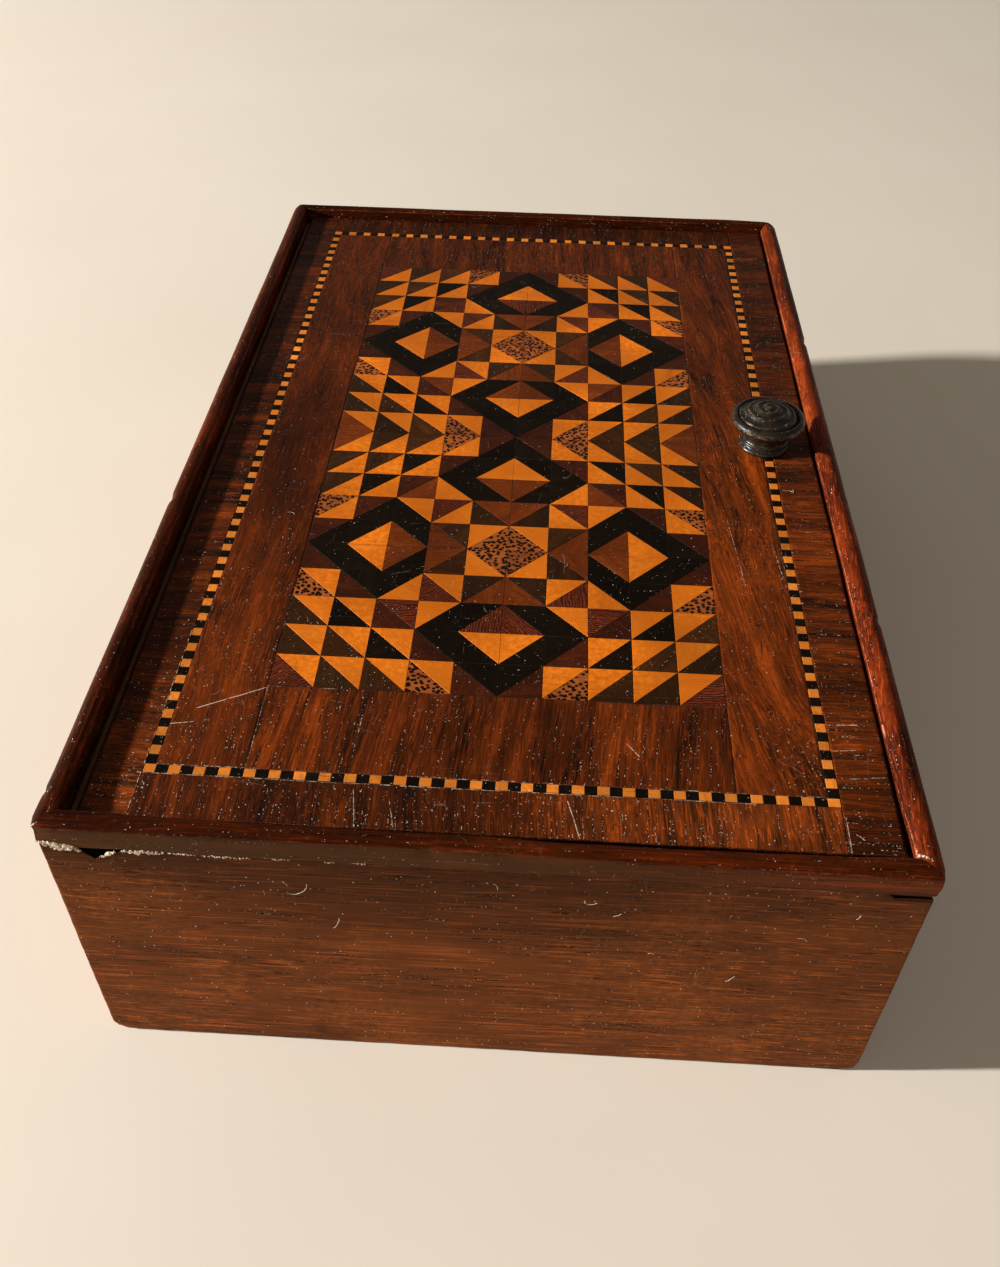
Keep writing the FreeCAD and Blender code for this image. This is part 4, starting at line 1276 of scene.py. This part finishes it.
def makeLitter():
    piece = grown("puttyCrumbs", drawn("puttyPaths", puttyPaths), crumbTree(), seed=4, finish=putty,
                  spacing=crumbLook["spacing"] * mm, jitter=crumbLook["jitter"],
                  roughness=crumbLook["rough"] * mm)
    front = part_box("near_moulding")[0].y
    for vertex in piece.data.vertices:
        vertex.co.y = max(vertex.co.y, front + 0.02 * mm)
    finish(piece, "box", "rosewood_face", putty)
    tree = lintTree()
    for body, fibres, slot in (("box", wallLint, "rosewood_face"), ("lid", lidLint, "rosewood_field")):
        source = drawn(f"{body}LintPaths", fibrePaths(fibres, body == "box"))
        piece = grown(f"{body}Lint", source, tree, thickness=lintLook["thickness"] * mm, finish=lint)
        piece.data.shade_smooth()
        finish(piece, body, slot, lint)


makeLitter()
print("litter done")


# Floor, light and camera
def makeStage():
    size = 4
    corners = [(-size, -size), (size, -size), (size, size), (-size, size)]
    floor = newObject("floor", [(x, y, -0.0001) for x, y in corners], [[0, 1, 2, 3]])
    floor.data.materials.append(blank(bpy.data.materials.new("paleFloor")))
    soft = cloud(draw("TexCoord")["Object"], 9, 4)
    surface({"Base Color": mixColour(soft, paint(222, 208, 188), paint(232, 220, 202)), "Roughness": 0.75})
    scene = bpy.context.scene
    scene.world = blank(scene.world or bpy.data.worlds.new("studio"))
    level = height(draw("TexCoord")["Generated"])
    colour = mixColour(fade(level, 0.08, 0.5), paint(172, 166, 157), paint(120, 116, 110))
    seen = draw("LightPath")["Is Camera Ray"]
    colour = mixColour(seen, colour, paint(232, 226, 216))
    draw("OutputWorld", {0: draw("Background", {"Color": colour})})


lampLook = {
    "keyLamp": dict(place=(-2.386, -0.307, 0.732), size=0.1, power=171),
    "nearLamp": dict(place=(-0.10, -1.10, 0.24), size=0.7, power=2),
}
cameraLook = dict(place=(6.69, -232.33, 219.41), turn=(46.694, -0.789, 3.127), lens=33.426)


def makeLamps():
    for name, look in lampLook.items():
        lamp = bpy.data.lights.new(name, "AREA")
        lamp.shape = "DISK"
        lamp.size = look["size"]
        lamp.energy = look["power"]
        item = placed(name, lamp)
        item.location = look["place"]
        away = Vector(look["place"]) - Vector((0, 0, 0.05))
        item.rotation_euler = away.to_track_quat("Z", "Y").to_euler()


def makeCamera():
    camera = bpy.data.cameras.new("camera")
    camera.lens = cameraLook["lens"]
    camera.sensor_width = 36
    camera.clip_start = 0.01
    item = placed("camera", camera)
    item.location = Vector(cameraLook["place"]) * mm
    item.rotation_euler = [radians(part) for part in cameraLook["turn"]]
    bpy.context.scene.camera = item
    bpy.context.scene.view_settings.view_transform = "Standard"


makeStage()
makeLamps()
makeCamera()
print("stage done")
